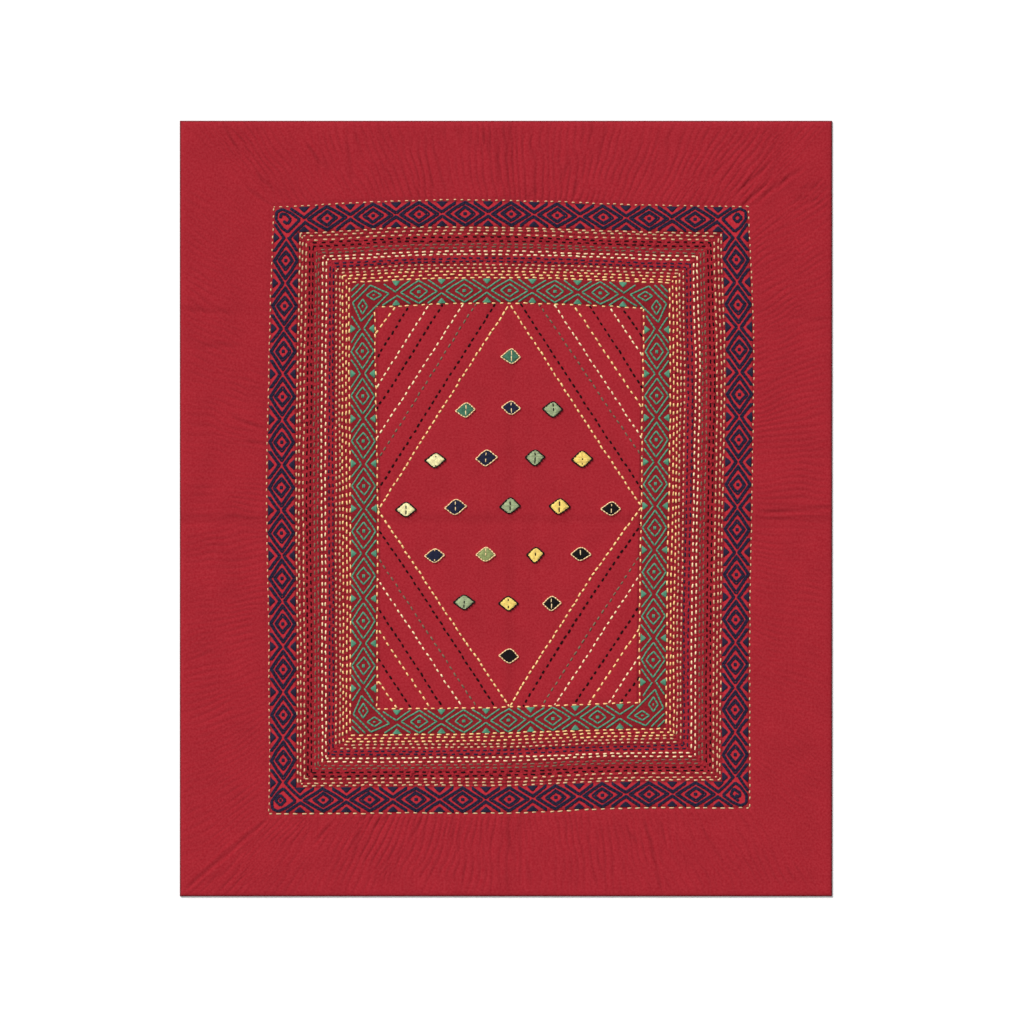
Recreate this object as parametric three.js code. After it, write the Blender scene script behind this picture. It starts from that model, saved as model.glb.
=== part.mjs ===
// Baby kantha quilt, lying flat: layers of red cotton held together by rows of hand running stitch.
// Millimetres, +Z up. The underside rests on z = 0 and the quilt's middle is at the origin;
// +X runs across its width and +Y along its length.
import * as THREE from 'three';

// Driving dimensions of the cloth
const WIDTH = 900;
const LENGTH = 1070;
const CLOTH_THICKNESS = 2.8;
const EDGE_THICKNESS = 1.6; // the turned edge, pressed thin
const HEM_DEPTH = 7; // from the turned edge to the full thickness
const STITCH_MARGIN = 6; // from the last border puckers to the outline row

// Relief of the upper face, up or down from the cloth's thickness
const PUCKER_HEIGHT = 0.45;
const BORDER_CROWN = 0.1; // the plain border is a little fuller in its middle than at its hem
const FURROW_DEPTH = 0.5; // the cloth is drawn down under a row of stitches
const BAND_RISE = 0.5; // the dense lozenge bands fill the cloth out
const EYE_RISE = 0.9;

// No two puckers are quite alike: slow waves, counted in steps round the border, change their strength.
const PUCKER_MEAN = 0.6;
const PUCKER_WAVES = [
  { share: 0.25, perStep: 1.7, start: 0 },
  { share: 0.15, perStep: 0.37, start: 2 },
];

// The plain cloth between the eyes swells a little, in waves counted in steps of the field's grid.
const SWELL = { height: 0.2, perColumn: 0.9, perRow: 0.4, fadePerRow: 0.7 };

// The stitched frame, as depths inwards from its outline row
const FRAME_DEPTH = 147;
const NAVY_BAND = { from: 3, to: 34 };
const GREEN_BAND = { from: 114, to: 143 };
const STITCH_ROWS = { count: 16, first: 39, last: 110.5 };

// The two stitched rectangles wander a little, as hand work does. Each row gives how far one side lies
// from the quilt's centre line at five even places: along x from left to right, along y from bottom to top.
const OUTLINE_ROW = {
  bottom: { start: 421, quarter: 420, middle: 420, threeQuarter: 413, end: 413 },
  right: { start: 336, quarter: 336, middle: 339, threeQuarter: 342, end: 335 },
  top: { start: 416, quarter: 424, middle: 425, threeQuarter: 419, end: 417 },
  left: { start: 327, quarter: 327, middle: 330, threeQuarter: 327, end: 321 },
};
const FIELD_ROW = {
  bottom: { start: 277, quarter: 276, middle: 274, threeQuarter: 271, end: 268 },
  right: { start: 184, quarter: 185, middle: 187, threeQuarter: 189, end: 190 },
  top: { start: 278, quarter: 282, middle: 283, threeQuarter: 281, end: 276 },
  left: { start: 178, quarter: 178, middle: 177, threeQuarter: 179, end: 181 },
};

// Eye motifs stand in rows across the diamond, each row spread evenly about its own middle.
const EYE_ROWS = [
  { up: 210, count: 1, pitch: 0, middle: 6 },
  { up: 137, count: 3, pitch: 60, middle: 4 },
  { up: 69, count: 4, pitch: 67, middle: 4 },
  { up: 2, count: 5, pitch: 70, middle: 3 },
  { up: -63, count: 4, pitch: 67, middle: 2 },
  { up: -131, count: 3, pitch: 60, middle: 3 },
  { up: -203, count: 1, pitch: 0, middle: 4 },
];
const EYE_SPREAD = { across: 20, along: 17 }; // the cloth rises a little way round each eye

// Creases where the quilt was folded away, as soft troughs right across it
const FOLDS = [
  { axis: 'y', at: -16, depth: 0.5 },
  { axis: 'y', at: 274, depth: 0.25 },
  { axis: 'x', at: 6, depth: 0.4 },
];
const FOLD_HALF_WIDTH = 10;

// Steps of the mesh: one pucker takes two steps of the border
const BORDER_STEPS = { across: 98, along: 116 };
const FRAME_STEPS = { across: 8, along: 8 };
const FIELD_STEPS = 32;
const FIELD_LOOP_STEPS = { across: FIELD_STEPS, along: FIELD_STEPS };
const UNDERSIDE_STEPS = { across: 1, along: 1 };
const UNDERSIDE_INSET = 0.3; // share of the half width where the underside's middle panel starts

// Sides in the order that runs anticlockwise, seen from above
const SIDES = ['bottom', 'right', 'top', 'left'];
const isAcross = (side) => side === 'bottom' || side === 'top';
const runsForward = (side) => side === 'bottom' || side === 'right';

const positions = [];
const triangles = [];

function addPoint(x, y, z) {
  positions.push(x, y, z);
  return positions.length / 3 - 1;
}

// A rectangle with wavy sides, as a function of the side and of t from one corner to the next.
function wavyRectangle(readings) {
  const waves = {};
  for (const side of SIDES) {
    const knots = Object.values(readings[side]).map((reach, place) => new THREE.Vector2(place, reach));
    waves[side] = new THREE.SplineCurve(knots);
  }
  const reach = (side, along) => waves[side].getPoint(along).y;
  return (side, t) => {
    const along = runsForward(side) ? t : 1 - t;
    const sign = side === 'bottom' || side === 'left' ? -1 : 1;
    const out = sign * reach(side, along);
    const end = sign > 0 ? 1 : 0;
    if (isAcross(side)) {
      return new THREE.Vector2(THREE.MathUtils.lerp(-reach('left', end), reach('right', end), along), out);
    }
    return new THREE.Vector2(out, THREE.MathUtils.lerp(-reach('bottom', end), reach('top', end), along));
  };
}

function straightRectangle(width, length) {
  const across = { start: length / 2, end: length / 2 };
  const along = { start: width / 2, end: width / 2 };
  return wavyRectangle({ bottom: across, right: along, top: across, left: along });
}

// A rectangle that lies a share of the way from one rectangle to another.
function between(from, to, share) {
  return (side, t) => from(side, t).lerp(to(side, t), share);
}

// How far the creases of folding draw the cloth down at a place.
function foldDip(place) {
  let dip = 0;
  for (const fold of FOLDS) {
    const away = (place[fold.axis] - fold.at) / FOLD_HALF_WIDTH;
    dip += fold.depth * Math.exp(-away * away);
  }
  return dip;
}

// Puckers rise and fall from step to step.
function pucker(step) {
  let strength = PUCKER_MEAN;
  for (const wave of PUCKER_WAVES) {
    strength += wave.share * Math.sin(wave.perStep * step + wave.start);
  }
  return (step % 2 === 0 ? 1 : -1) * strength * PUCKER_HEIGHT;
}

// One closed loop of points round the quilt. Each point keeps its turn, 0 to 4, for the strips between loops.
function addLoop(steps, rectangle, heightAt) {
  const loop = [];
  SIDES.forEach((side, corner) => {
    const count = isAcross(side) ? steps.across : steps.along;
    for (let step = 0; step < count; step += 1) {
      const place = rectangle(side, step / count);
      const index = addPoint(place.x, place.y, heightAt(place, loop.length));
      loop.push({ index, turn: corner + step / count });
    }
  });
  return loop;
}

// Fills the strip between two loops, whatever their counts, by stepping along whichever is behind.
function zip(outer, inner) {
  const at = (loop, step) => loop[step % loop.length].index;
  const turn = (loop, step) => (step < loop.length ? loop[step].turn : SIDES.length);
  let o = 0;
  let i = 0;
  while (o < outer.length || i < inner.length) {
    const stepOuter = i === inner.length || (o < outer.length && turn(outer, o + 1) <= turn(inner, i + 1));
    if (stepOuter) {
      triangles.push(at(outer, o), at(outer, o + 1), at(inner, i));
      o += 1;
    } else {
      triangles.push(at(outer, o), at(inner, i + 1), at(inner, i));
      i += 1;
    }
  }
}

// Flat underside: a large middle panel and the strip round it.
function addUnderside(edge) {
  const onFloor = () => 0;
  const rim = addLoop(BORDER_STEPS, edge, onFloor);
  const panel = addLoop(UNDERSIDE_STEPS, between(edge, () => new THREE.Vector2(), UNDERSIDE_INSET), onFloor);
  zip(panel, rim);
  const [a, b, c, d] = panel.map((point) => point.index);
  triangles.push(a, c, b, a, d, c);
  return rim;
}

// One ring of the upper face, joined to the ring outside it.
function addRing(line, ring, last) {
  const next = addLoop(ring.steps, line, (place, step) => {
    const dip = ring.folded ? foldDip(place) : 0;
    return CLOTH_THICKNESS + ring.rise + ring.puckered * pucker(step) - dip;
  });
  zip(last, next);
  return next;
}

// Plain border: the turned edge, then puckers that run in from it and fan out at the corners.
function addBorder(edge, outline, rim) {
  const borderDepth = (LENGTH + WIDTH) / 4 - (OUTLINE_ROW.top.middle + OUTLINE_ROW.right.middle) / 2;
  const rings = [
    { depth: 0, rise: EDGE_THICKNESS - CLOTH_THICKNESS, puckered: 0, folded: false },
    { depth: HEM_DEPTH, rise: -BORDER_CROWN, puckered: 0.5, folded: true },
    { depth: borderDepth / 2, rise: BORDER_CROWN, puckered: 1, folded: true },
    { depth: borderDepth - STITCH_MARGIN, rise: 0, puckered: 0.8, folded: true },
  ];
  let last = rim;
  for (const ring of rings) {
    const line = between(edge, outline, ring.depth / borderDepth);
    last = addRing(line, { ...ring, steps: BORDER_STEPS }, last);
  }
  return last;
}

// Stitched frame: a furrow under every row of stitches, a ridge between rows, and the two raised bands.
// The steps get coarser across the flat navy band, and finer again across the green one.
function addFrame(outline, field, last) {
  const rowPitch = (STITCH_ROWS.last - STITCH_ROWS.first) / (STITCH_ROWS.count - 1);
  const rings = [
    { depth: 0, rise: -FURROW_DEPTH, steps: BORDER_STEPS },
    { depth: NAVY_BAND.from, rise: BAND_RISE, steps: BORDER_STEPS },
    { depth: NAVY_BAND.to, rise: BAND_RISE, steps: FRAME_STEPS },
  ];
  for (let row = 0; row < STITCH_ROWS.count; row += 1) {
    const depth = STITCH_ROWS.first + row * rowPitch;
    rings.push({ depth, rise: -FURROW_DEPTH, steps: FRAME_STEPS });
    rings.push({ depth: depth + rowPitch / 2, rise: 0, steps: FRAME_STEPS });
  }
  rings.push({ depth: GREEN_BAND.from, rise: BAND_RISE, steps: FRAME_STEPS });
  rings.push({ depth: GREEN_BAND.to, rise: BAND_RISE, steps: FIELD_LOOP_STEPS });
  rings.push({ depth: FRAME_DEPTH, rise: -FURROW_DEPTH, steps: FIELD_LOOP_STEPS });
  let next = last;
  for (const ring of rings) {
    const line = between(outline, field, ring.depth / FRAME_DEPTH);
    next = addRing(line, { ...ring, puckered: 0, folded: false }, next);
  }
  return next;
}

// The eyes lift the cloth into low bumps.
function eyeRise(place) {
  let rise = 0;
  for (const row of EYE_ROWS) {
    for (let eye = 0; eye < row.count; eye += 1) {
      const x = row.middle + (eye - (row.count - 1) / 2) * row.pitch;
      const away = Math.abs(place.x - x) / EYE_SPREAD.across + Math.abs(place.y - row.up) / EYE_SPREAD.along;
      rise = Math.max(rise, EYE_RISE * (1 - away));
    }
  }
  return rise;
}

// Field: a diamond that holds the eyes, and corners quilted in rows that run along the diamond's sides.
function fieldHeight(column, row, place) {
  const half = FIELD_STEPS / 2;
  const pastDiamond = Math.abs(column - half) + Math.abs(row - half) - half;
  if (pastDiamond >= 0) {
    const onStitches = pastDiamond % 2 === 0;
    return CLOTH_THICKNESS - (onStitches ? FURROW_DEPTH : 0);
  }
  const wave = Math.sin(SWELL.perColumn * column + SWELL.perRow * row) * Math.sin(SWELL.fadePerRow * row);
  return CLOTH_THICKNESS + SWELL.height * wave + eyeRise(place) - foldDip(place);
}

function addField(field, rim) {
  const grid = [];
  for (let column = 0; column <= FIELD_STEPS; column += 1) {
    const u = column / FIELD_STEPS;
    grid.push([]);
    for (let row = 0; row <= FIELD_STEPS; row += 1) {
      const v = row / FIELD_STEPS;
      const x = THREE.MathUtils.lerp(field('left', 1 - v).x, field('right', v).x, u);
      const y = THREE.MathUtils.lerp(field('bottom', u).y, field('top', 1 - u).y, v);
      const place = new THREE.Vector2(x, y);
      const onRim = [row === 0, column === FIELD_STEPS, row === FIELD_STEPS, column === 0].includes(true);
      grid[column].push(onRim ? rimPoint(rim, column, row) : addPoint(x, y, fieldHeight(column, row, place)));
    }
  }
  for (let column = 0; column < FIELD_STEPS; column += 1) {
    for (let row = 0; row < FIELD_STEPS; row += 1) {
      addCell(grid, column, row);
    }
  }
}

// The field row's own point at the edge of the field's grid.
function rimPoint(rim, column, row) {
  if (row === 0) return rim[column].index;
  if (column === FIELD_STEPS) return rim[FIELD_STEPS + row].index;
  if (row === FIELD_STEPS) return rim[3 * FIELD_STEPS - column].index;
  return rim[4 * FIELD_STEPS - row].index;
}

// One cell of the field, split along the way that the quilting rows run there.
function addCell(grid, column, row) {
  const half = FIELD_STEPS / 2;
  const a = grid[column][row];
  const b = grid[column + 1][row];
  const c = grid[column + 1][row + 1];
  const d = grid[column][row + 1];
  const rises = column < half === row >= half;
  if (rises) {
    triangles.push(a, b, c, a, c, d);
  } else {
    triangles.push(a, b, d, b, c, d);
  }
}

const edge = straightRectangle(WIDTH, LENGTH);
const outline = wavyRectangle(OUTLINE_ROW);
const field = wavyRectangle(FIELD_ROW);
const rim = addUnderside(edge);
const border = addBorder(edge, outline, rim);
const fieldRim = addFrame(outline, field, border);
addField(field, fieldRim);

const geometry = new THREE.BufferGeometry();
geometry.setAttribute('position', new THREE.Float32BufferAttribute(positions, 3));
geometry.setIndex(triangles);
geometry.computeVertexNormals();

const redCotton = new THREE.MeshStandardMaterial({ color: 0xa62933, roughness: 0.9, metalness: 0 });
const quilt = new THREE.Mesh(geometry, redCotton);
quilt.name = 'quilt';

const kanthaQuilt = new THREE.Group();
kanthaQuilt.add(quilt);

export default kanthaQuilt;
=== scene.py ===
# %% [markdown]
# # A baby kantha quilt, sewn stitch by stitch
# The real quilt is a few layers of red cotton, laid flat and held together by hand running stitch. All of
# its picture is needlework: dotted rows, two lozenge bands, a diamond and a field of small eyes. It could
# be painted as a texture, but thread stands up from cloth and catches the light, so this lesson makes the
# cloth as one thin closed sheet and then sews real stitches into it, in the order that a maker would.

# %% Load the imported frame
import math

import bpy
import numpy as np
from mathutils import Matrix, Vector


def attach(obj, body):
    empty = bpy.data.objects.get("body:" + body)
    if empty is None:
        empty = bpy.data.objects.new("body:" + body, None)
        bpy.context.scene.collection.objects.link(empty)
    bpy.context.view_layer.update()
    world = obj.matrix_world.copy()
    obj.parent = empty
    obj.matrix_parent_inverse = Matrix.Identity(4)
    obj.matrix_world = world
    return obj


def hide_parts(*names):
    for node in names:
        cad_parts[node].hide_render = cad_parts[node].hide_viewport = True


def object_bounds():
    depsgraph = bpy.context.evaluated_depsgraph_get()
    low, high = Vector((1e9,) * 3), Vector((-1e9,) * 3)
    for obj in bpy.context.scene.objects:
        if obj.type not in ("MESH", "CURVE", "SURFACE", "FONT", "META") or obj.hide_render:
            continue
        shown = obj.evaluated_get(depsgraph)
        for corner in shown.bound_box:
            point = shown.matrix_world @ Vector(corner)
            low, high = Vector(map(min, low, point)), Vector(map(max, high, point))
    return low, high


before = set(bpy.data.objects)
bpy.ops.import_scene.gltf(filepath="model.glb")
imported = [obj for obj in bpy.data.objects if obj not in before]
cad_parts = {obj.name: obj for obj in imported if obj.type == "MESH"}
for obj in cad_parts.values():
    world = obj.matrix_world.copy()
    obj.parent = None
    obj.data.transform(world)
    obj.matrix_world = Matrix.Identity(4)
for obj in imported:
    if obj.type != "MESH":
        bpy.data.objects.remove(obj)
cad_low, cad_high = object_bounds()
MM = 0.001
WIDTH = round((cad_high.x - cad_low.x) / MM)
LENGTH = round((cad_high.y - cad_low.y) / MM)
print("quilt of", WIDTH, "by", LENGTH, "mm")

# %% [markdown]
# ## Finding the way on the quilt
# Everything is laid out as a picture frame: the cut edge outside, then the outline row of the stitched
# frame, then the gold row round the field. Hand-sewn rows wander, so each rectangle has five readings a
# side, and rows between them are mixed from both. One number, the ring, says where a row lies: -1 is the
# edge, 0 the outline row and 1 the field row. The sizes are in millimetres and become metres when a mesh
# is made.

# %% Rectangles that wander
SIDES = ("bottom", "right", "top", "left")
ACROSS = ("bottom", "top")
OUTWARD = {"bottom": -1, "right": 1, "top": 1, "left": -1}
FRAME_DEPTH = 147.0
EDGE_REACH = {"bottom": LENGTH / 2, "right": WIDTH / 2, "top": LENGTH / 2, "left": WIDTH / 2}

# How far each side lies from the centre line at five even places: left to right, or bottom to top.
OUTLINE_ROW = {
    "bottom": (421, 420, 420, 413, 413),
    "right": (336, 336, 339, 342, 335),
    "top": (416, 424, 425, 419, 417),
    "left": (327, 327, 330, 327, 321),
}
FIELD_ROW = {
    "bottom": (277, 276, 274, 271, 268),
    "right": (184, 185, 187, 189, 190),
    "top": (278, 282, 283, 281, 276),
    "left": (178, 178, 177, 179, 181),
}
print("the frame lies about", round(WIDTH / 2 - OUTLINE_ROW["left"][2]), "mm in from the cut edge")


# %% A smooth line through readings
def mix(low, high, share):
    return low + (high - low) * share


def smooth(share):
    share = np.clip(share, 0, 1)
    return share * share * (3 - 2 * share)


def reach(readings, share):
    """A smooth curve through even readings, as a thin batten bent through them would lie."""
    knots = np.asarray(readings, float)
    spans = len(knots) - 1
    place = np.clip(share, 0, 1) * spans
    first = np.minimum(np.floor(place).astype(int), spans - 1)
    part = place - first
    here = knots[first]
    there = knots[first + 1]
    leave = (there - knots[np.maximum(first - 1, 0)]) / 2
    arrive = (knots[np.minimum(first + 2, spans)] - here) / 2
    cubic = 2 * here - 2 * there + leave + arrive
    square = 3 * there - 3 * here - 2 * leave - arrive
    return ((cubic * part + square) * part + leave) * part + here


print("middle of the outline row's top side:", reach(OUTLINE_ROW["top"], 0.5), "mm from the centre")


# %% Places along a row
def side_reach(side, share, ring):
    outline = reach(OUTLINE_ROW[side], share)
    outside = mix(outline, EDGE_REACH[side], -ring)
    inside = mix(outline, reach(FIELD_ROW[side], share), ring)
    return np.where(ring < 0, outside, inside)


def row_ends(side, ring):
    """Where a row of that ring starts and stops, along its own side."""
    low, high = ("left", "right") if side in ACROSS else ("bottom", "top")
    end = np.full(np.shape(ring), 1.0 if OUTWARD[side] > 0 else 0.0)
    return -side_reach(low, end, ring), side_reach(high, end, ring)


def on_row(side, along, ring):
    """The x and y of places along a row, in mm from the quilt's middle."""
    along, ring = np.broadcast_arrays(np.asarray(along, float), np.asarray(ring, float))
    start, stop = row_ends(side, ring)
    out = OUTWARD[side] * side_reach(side, (along - start) / (stop - start), ring)
    return np.stack([along, out] if side in ACROSS else [out, along], -1)


def row_places(side, share, ring):
    """Places at those shares of a row's length."""
    start, stop = row_ends(side, ring)
    return on_row(side, mix(start, stop, share), ring)


print("a place on that side, as x and y:", on_row("top", 0.0, 0.0).round(1))

# %% The ring at a place
RING_LIMITS = (-1, 2)
RING_GUESSES = 3


def frame_place(x, y):
    """The ring that a place lies on, its share along that side, and which side it is."""
    ring = np.full(x.shape, np.inf)
    share = np.zeros(x.shape)
    nearest = np.zeros(x.shape, int)
    for number, side in enumerate(SIDES):
        along, out = (x, y) if side in ACROSS else (y, x)
        out = out * OUTWARD[side]
        guess = np.zeros(x.shape)
        for _ in range(RING_GUESSES):
            start, stop = row_ends(side, guess)
            part = (along - start) / (stop - start)
            outline = reach(OUTLINE_ROW[side], part)
            inside = (outline - out) / (outline - reach(FIELD_ROW[side], part))
            outside = (outline - out) / (EDGE_REACH[side] - outline)
            guess = np.clip(np.where(inside > 0, inside, outside), *RING_LIMITS)
        closer = guess < ring
        ring = np.where(closer, guess, ring)
        share = np.where(closer, part, share)
        nearest = np.where(closer, number, nearest)
    return ring, share, nearest


border_ring = frame_place(np.zeros(1), np.array([-480.0]))[0]
print("ring of a place on the lower border:", border_ring.round(2))

# %% [markdown]
# ## Where the stitches go
# The rows come first as a short chart, because the cloth has to be drawn down under every one of them.
# Depth is measured in from the outline row. Each colour was sewn in one sitting and has its own rhythm,
# so the chart gives the length of a stitch and the pitch from one to the next, across (top and bottom)
# and along (both sides).

# %% Chart of the rows
def chart(columns, rows):
    """A table with named columns: every row becomes a dictionary."""
    return [dict(zip(columns, row)) for row in rows]


ROW_CHART = chart(("depth", "thread", "stitch", "across", "along", "width"), (
    (0.0, "sage", 4.3, 9.6, 9.2, 1.7),
    (38.9, "sage", 6.0, 11.2, 10.3, 2.1),
    (43.1, "sage", 6.1, 11.5, 10.6, 2.1),
    (48.4, "sage", 5.9, 11.7, 9.9, 2.1),
    (52.8, "maroon", 6.9, 11.6, 10.1, 2.2),
    (57.7, "maroon", 6.7, 10.8, 10.0, 2.2),
    (62.8, "grey_green", 6.5, 10.3, 9.8, 1.9),
    (67.6, "grey_green", 6.5, 10.6, 9.8, 1.9),
    (72.4, "cream", 5.8, 10.6, 9.4, 2.1),
    (77.4, "cream", 5.9, 9.6, 9.6, 2.1),
    (82.4, "navy", 6.8, 10.3, 9.3, 2.2),
    (87.4, "navy", 6.5, 9.4, 9.0, 2.2),
    (91.8, "sage", 4.8, 9.0, 8.7, 2.1),
    (96.7, "sage", 5.4, 10.0, 8.9, 2.1),
    (101.2, "gold", 5.7, 9.5, 9.4, 2.1),
    (106.0, "gold", 6.2, 11.0, 10.2, 2.1),
    (110.5, "gold", 6.8, 10.8, 11.2, 2.1),
    (147.0, "gold", 6.0, 10.8, 10.2, 2.0),
))
OUTLINE_AT_BOTTOM = {"stitch": 6.8, "across": 11.8, "width": 2.0}

# A band: the depths of its outer row and its middle, half its width, the room that its corner figure
# takes, its lozenges across and along, the size of its triangles, and how much lighter its cloth is
# painted than the rest: painted light where above zero, painted shade where below.
BAND_COLUMNS = ("outer", "middle", "half", "corner", "across", "along", "triangle", "shade")
NAVY_BAND, GREEN_BAND = chart(BAND_COLUMNS, (
    (0.0, 19.2, 16.5, 42.5, 9, 12, 1.0, 0.34),
    (112.0, 128.8, 16.1, 63.0, 5, 8, 0.78, -0.34),
))
print(len(ROW_CHART), "rows round the frame, and two bands")

# %% Chart of the field
# The diamond's four points with the bow of the side that leaves each one. Then the rows that fill the
# field's corners, from the corner to the diamond: where each leaves the top or bottom row (x), where it
# reaches the side row (y), and how far it bows sideways at its middle.
DIAMOND = chart(("point", "bow"), (
    ((5.5, 282.0), -1.4), ((-176.7, -2.1), -0.3), ((5.5, -274.0), 4.4), ((186.9, 2.1), 1.0),
))
CORNER_ROW_COLUMNS = ("x", "y", "thread", "bow")
CORNER_ROWS = {
    ("top", "left"): (
        (-152.2, 240.4, "gold", 0), (-133.4, 205.9, "maroon", 0), (-105.7, 165.0, "cream", 0),
        (-86.8, 136.0, "maroon", 0), (-58.7, 96.2, "cream", 0), (-41.4, 65.8, "grey_green", 0),
        (-15.3, 25.3, "maroon", 0),
    ),
    ("top", "right"): (
        (159.7, 234.0, "maroon", 0), (141.8, 208.9, "cream", 0), (114.6, 165.9, "maroon", 0),
        (94.0, 137.6, "gold", 0), (65.9, 95.7, "cream", 0), (45.0, 69.2, "grey_green", 0),
        (19.6, 25.5, "maroon", 0),
    ),
    ("bottom", "left"): (
        (-148.3, -236.0, "gold", 0), (-129.9, -205.0, "maroon", 0), (-103.9, -165.3, "gold", 0),
        (-87.1, -135.5, "maroon", 0), (-59.7, -97.0, "cream", 0), (-39.3, -67.1, "grey_green", 0),
        (-14.5, -26.9, "maroon", -1.0),
    ),
    ("bottom", "right"): (
        (157.5, -231.4, "maroon", 0), (140.8, -203.5, "cream", 0), (113.6, -164.5, "gold", 0),
        (93.2, -134.4, "maroon", 0), (67.2, -90.4, "cream", 0), (48.9, -62.6, "grey_green", 0),
        (22.7, -21.2, "maroon", 2.3),
    ),
}
FIELD_PITCH = {"gold": 9.9, "maroon": 9.4, "cream": 9.0, "grey_green": 9.8}
FIELD_STITCH_SHARE = 0.66
FIELD_WIDTH = {"gold": 2.45, "maroon": 2.7, "cream": 2.25, "grey_green": 2.25}
DIAMOND_PITCH = 8.5
DIAMOND_STITCH_SHARE = 0.76
print("the rows of", len(CORNER_ROWS), "corners and a diamond of", len(DIAMOND), "sides")

# %% Rows of the field as lines
BOW_PLACES = 7


def square_to(run):
    """A step of 1 mm to the left of a run."""
    return np.array([-run[1], run[0]]) / np.hypot(*run)


def bowed(start, stop, bow):
    """A row as a line of short legs that bends sideways by that much at its middle."""
    share = np.linspace(0, 1, BOW_PLACES if bow else 2)
    run = stop - start
    return start + run * share[:, None] + square_to(run) * (4 * bow * share * (1 - share))[:, None]


def field_row(places, thread, pitch, stitch_share):
    return {"places": places, "thread": thread, "pitch": pitch, "share": stitch_share}


def field_lines():
    """Every row of the field: the places that it runs through, its thread and its pitch."""
    lines = []
    for (end_side, flank), rows in CORNER_ROWS.items():
        for row in chart(CORNER_ROW_COLUMNS, rows):
            places = bowed(on_row(end_side, row["x"], 1.0), on_row(flank, row["y"], 1.0), row["bow"])
            thread = row["thread"]
            lines.append(field_row(places, thread, FIELD_PITCH[thread], FIELD_STITCH_SHARE))
    for number, corner in enumerate(DIAMOND):
        after = DIAMOND[(number + 1) % len(DIAMOND)]
        places = bowed(np.array(corner["point"]), np.array(after["point"]), corner["bow"])
        lines.append(field_row(places, "gold", DIAMOND_PITCH, DIAMOND_STITCH_SHARE))
    return lines


FIELD_LINES = field_lines()
print(len(FIELD_LINES), "rows in the field")

# %% [markdown]
# ## The eyes
# Twenty-one small eyes stand in seven rows. Each has a satin filling, an outline in back stitch and a
# short tie down its middle. They were drawn by eye on the cloth, so no two are alike: the chart gives
# each one's place, its two threads, its four corners from that place, and the tie's stitches as heights
# above the middle.

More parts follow.
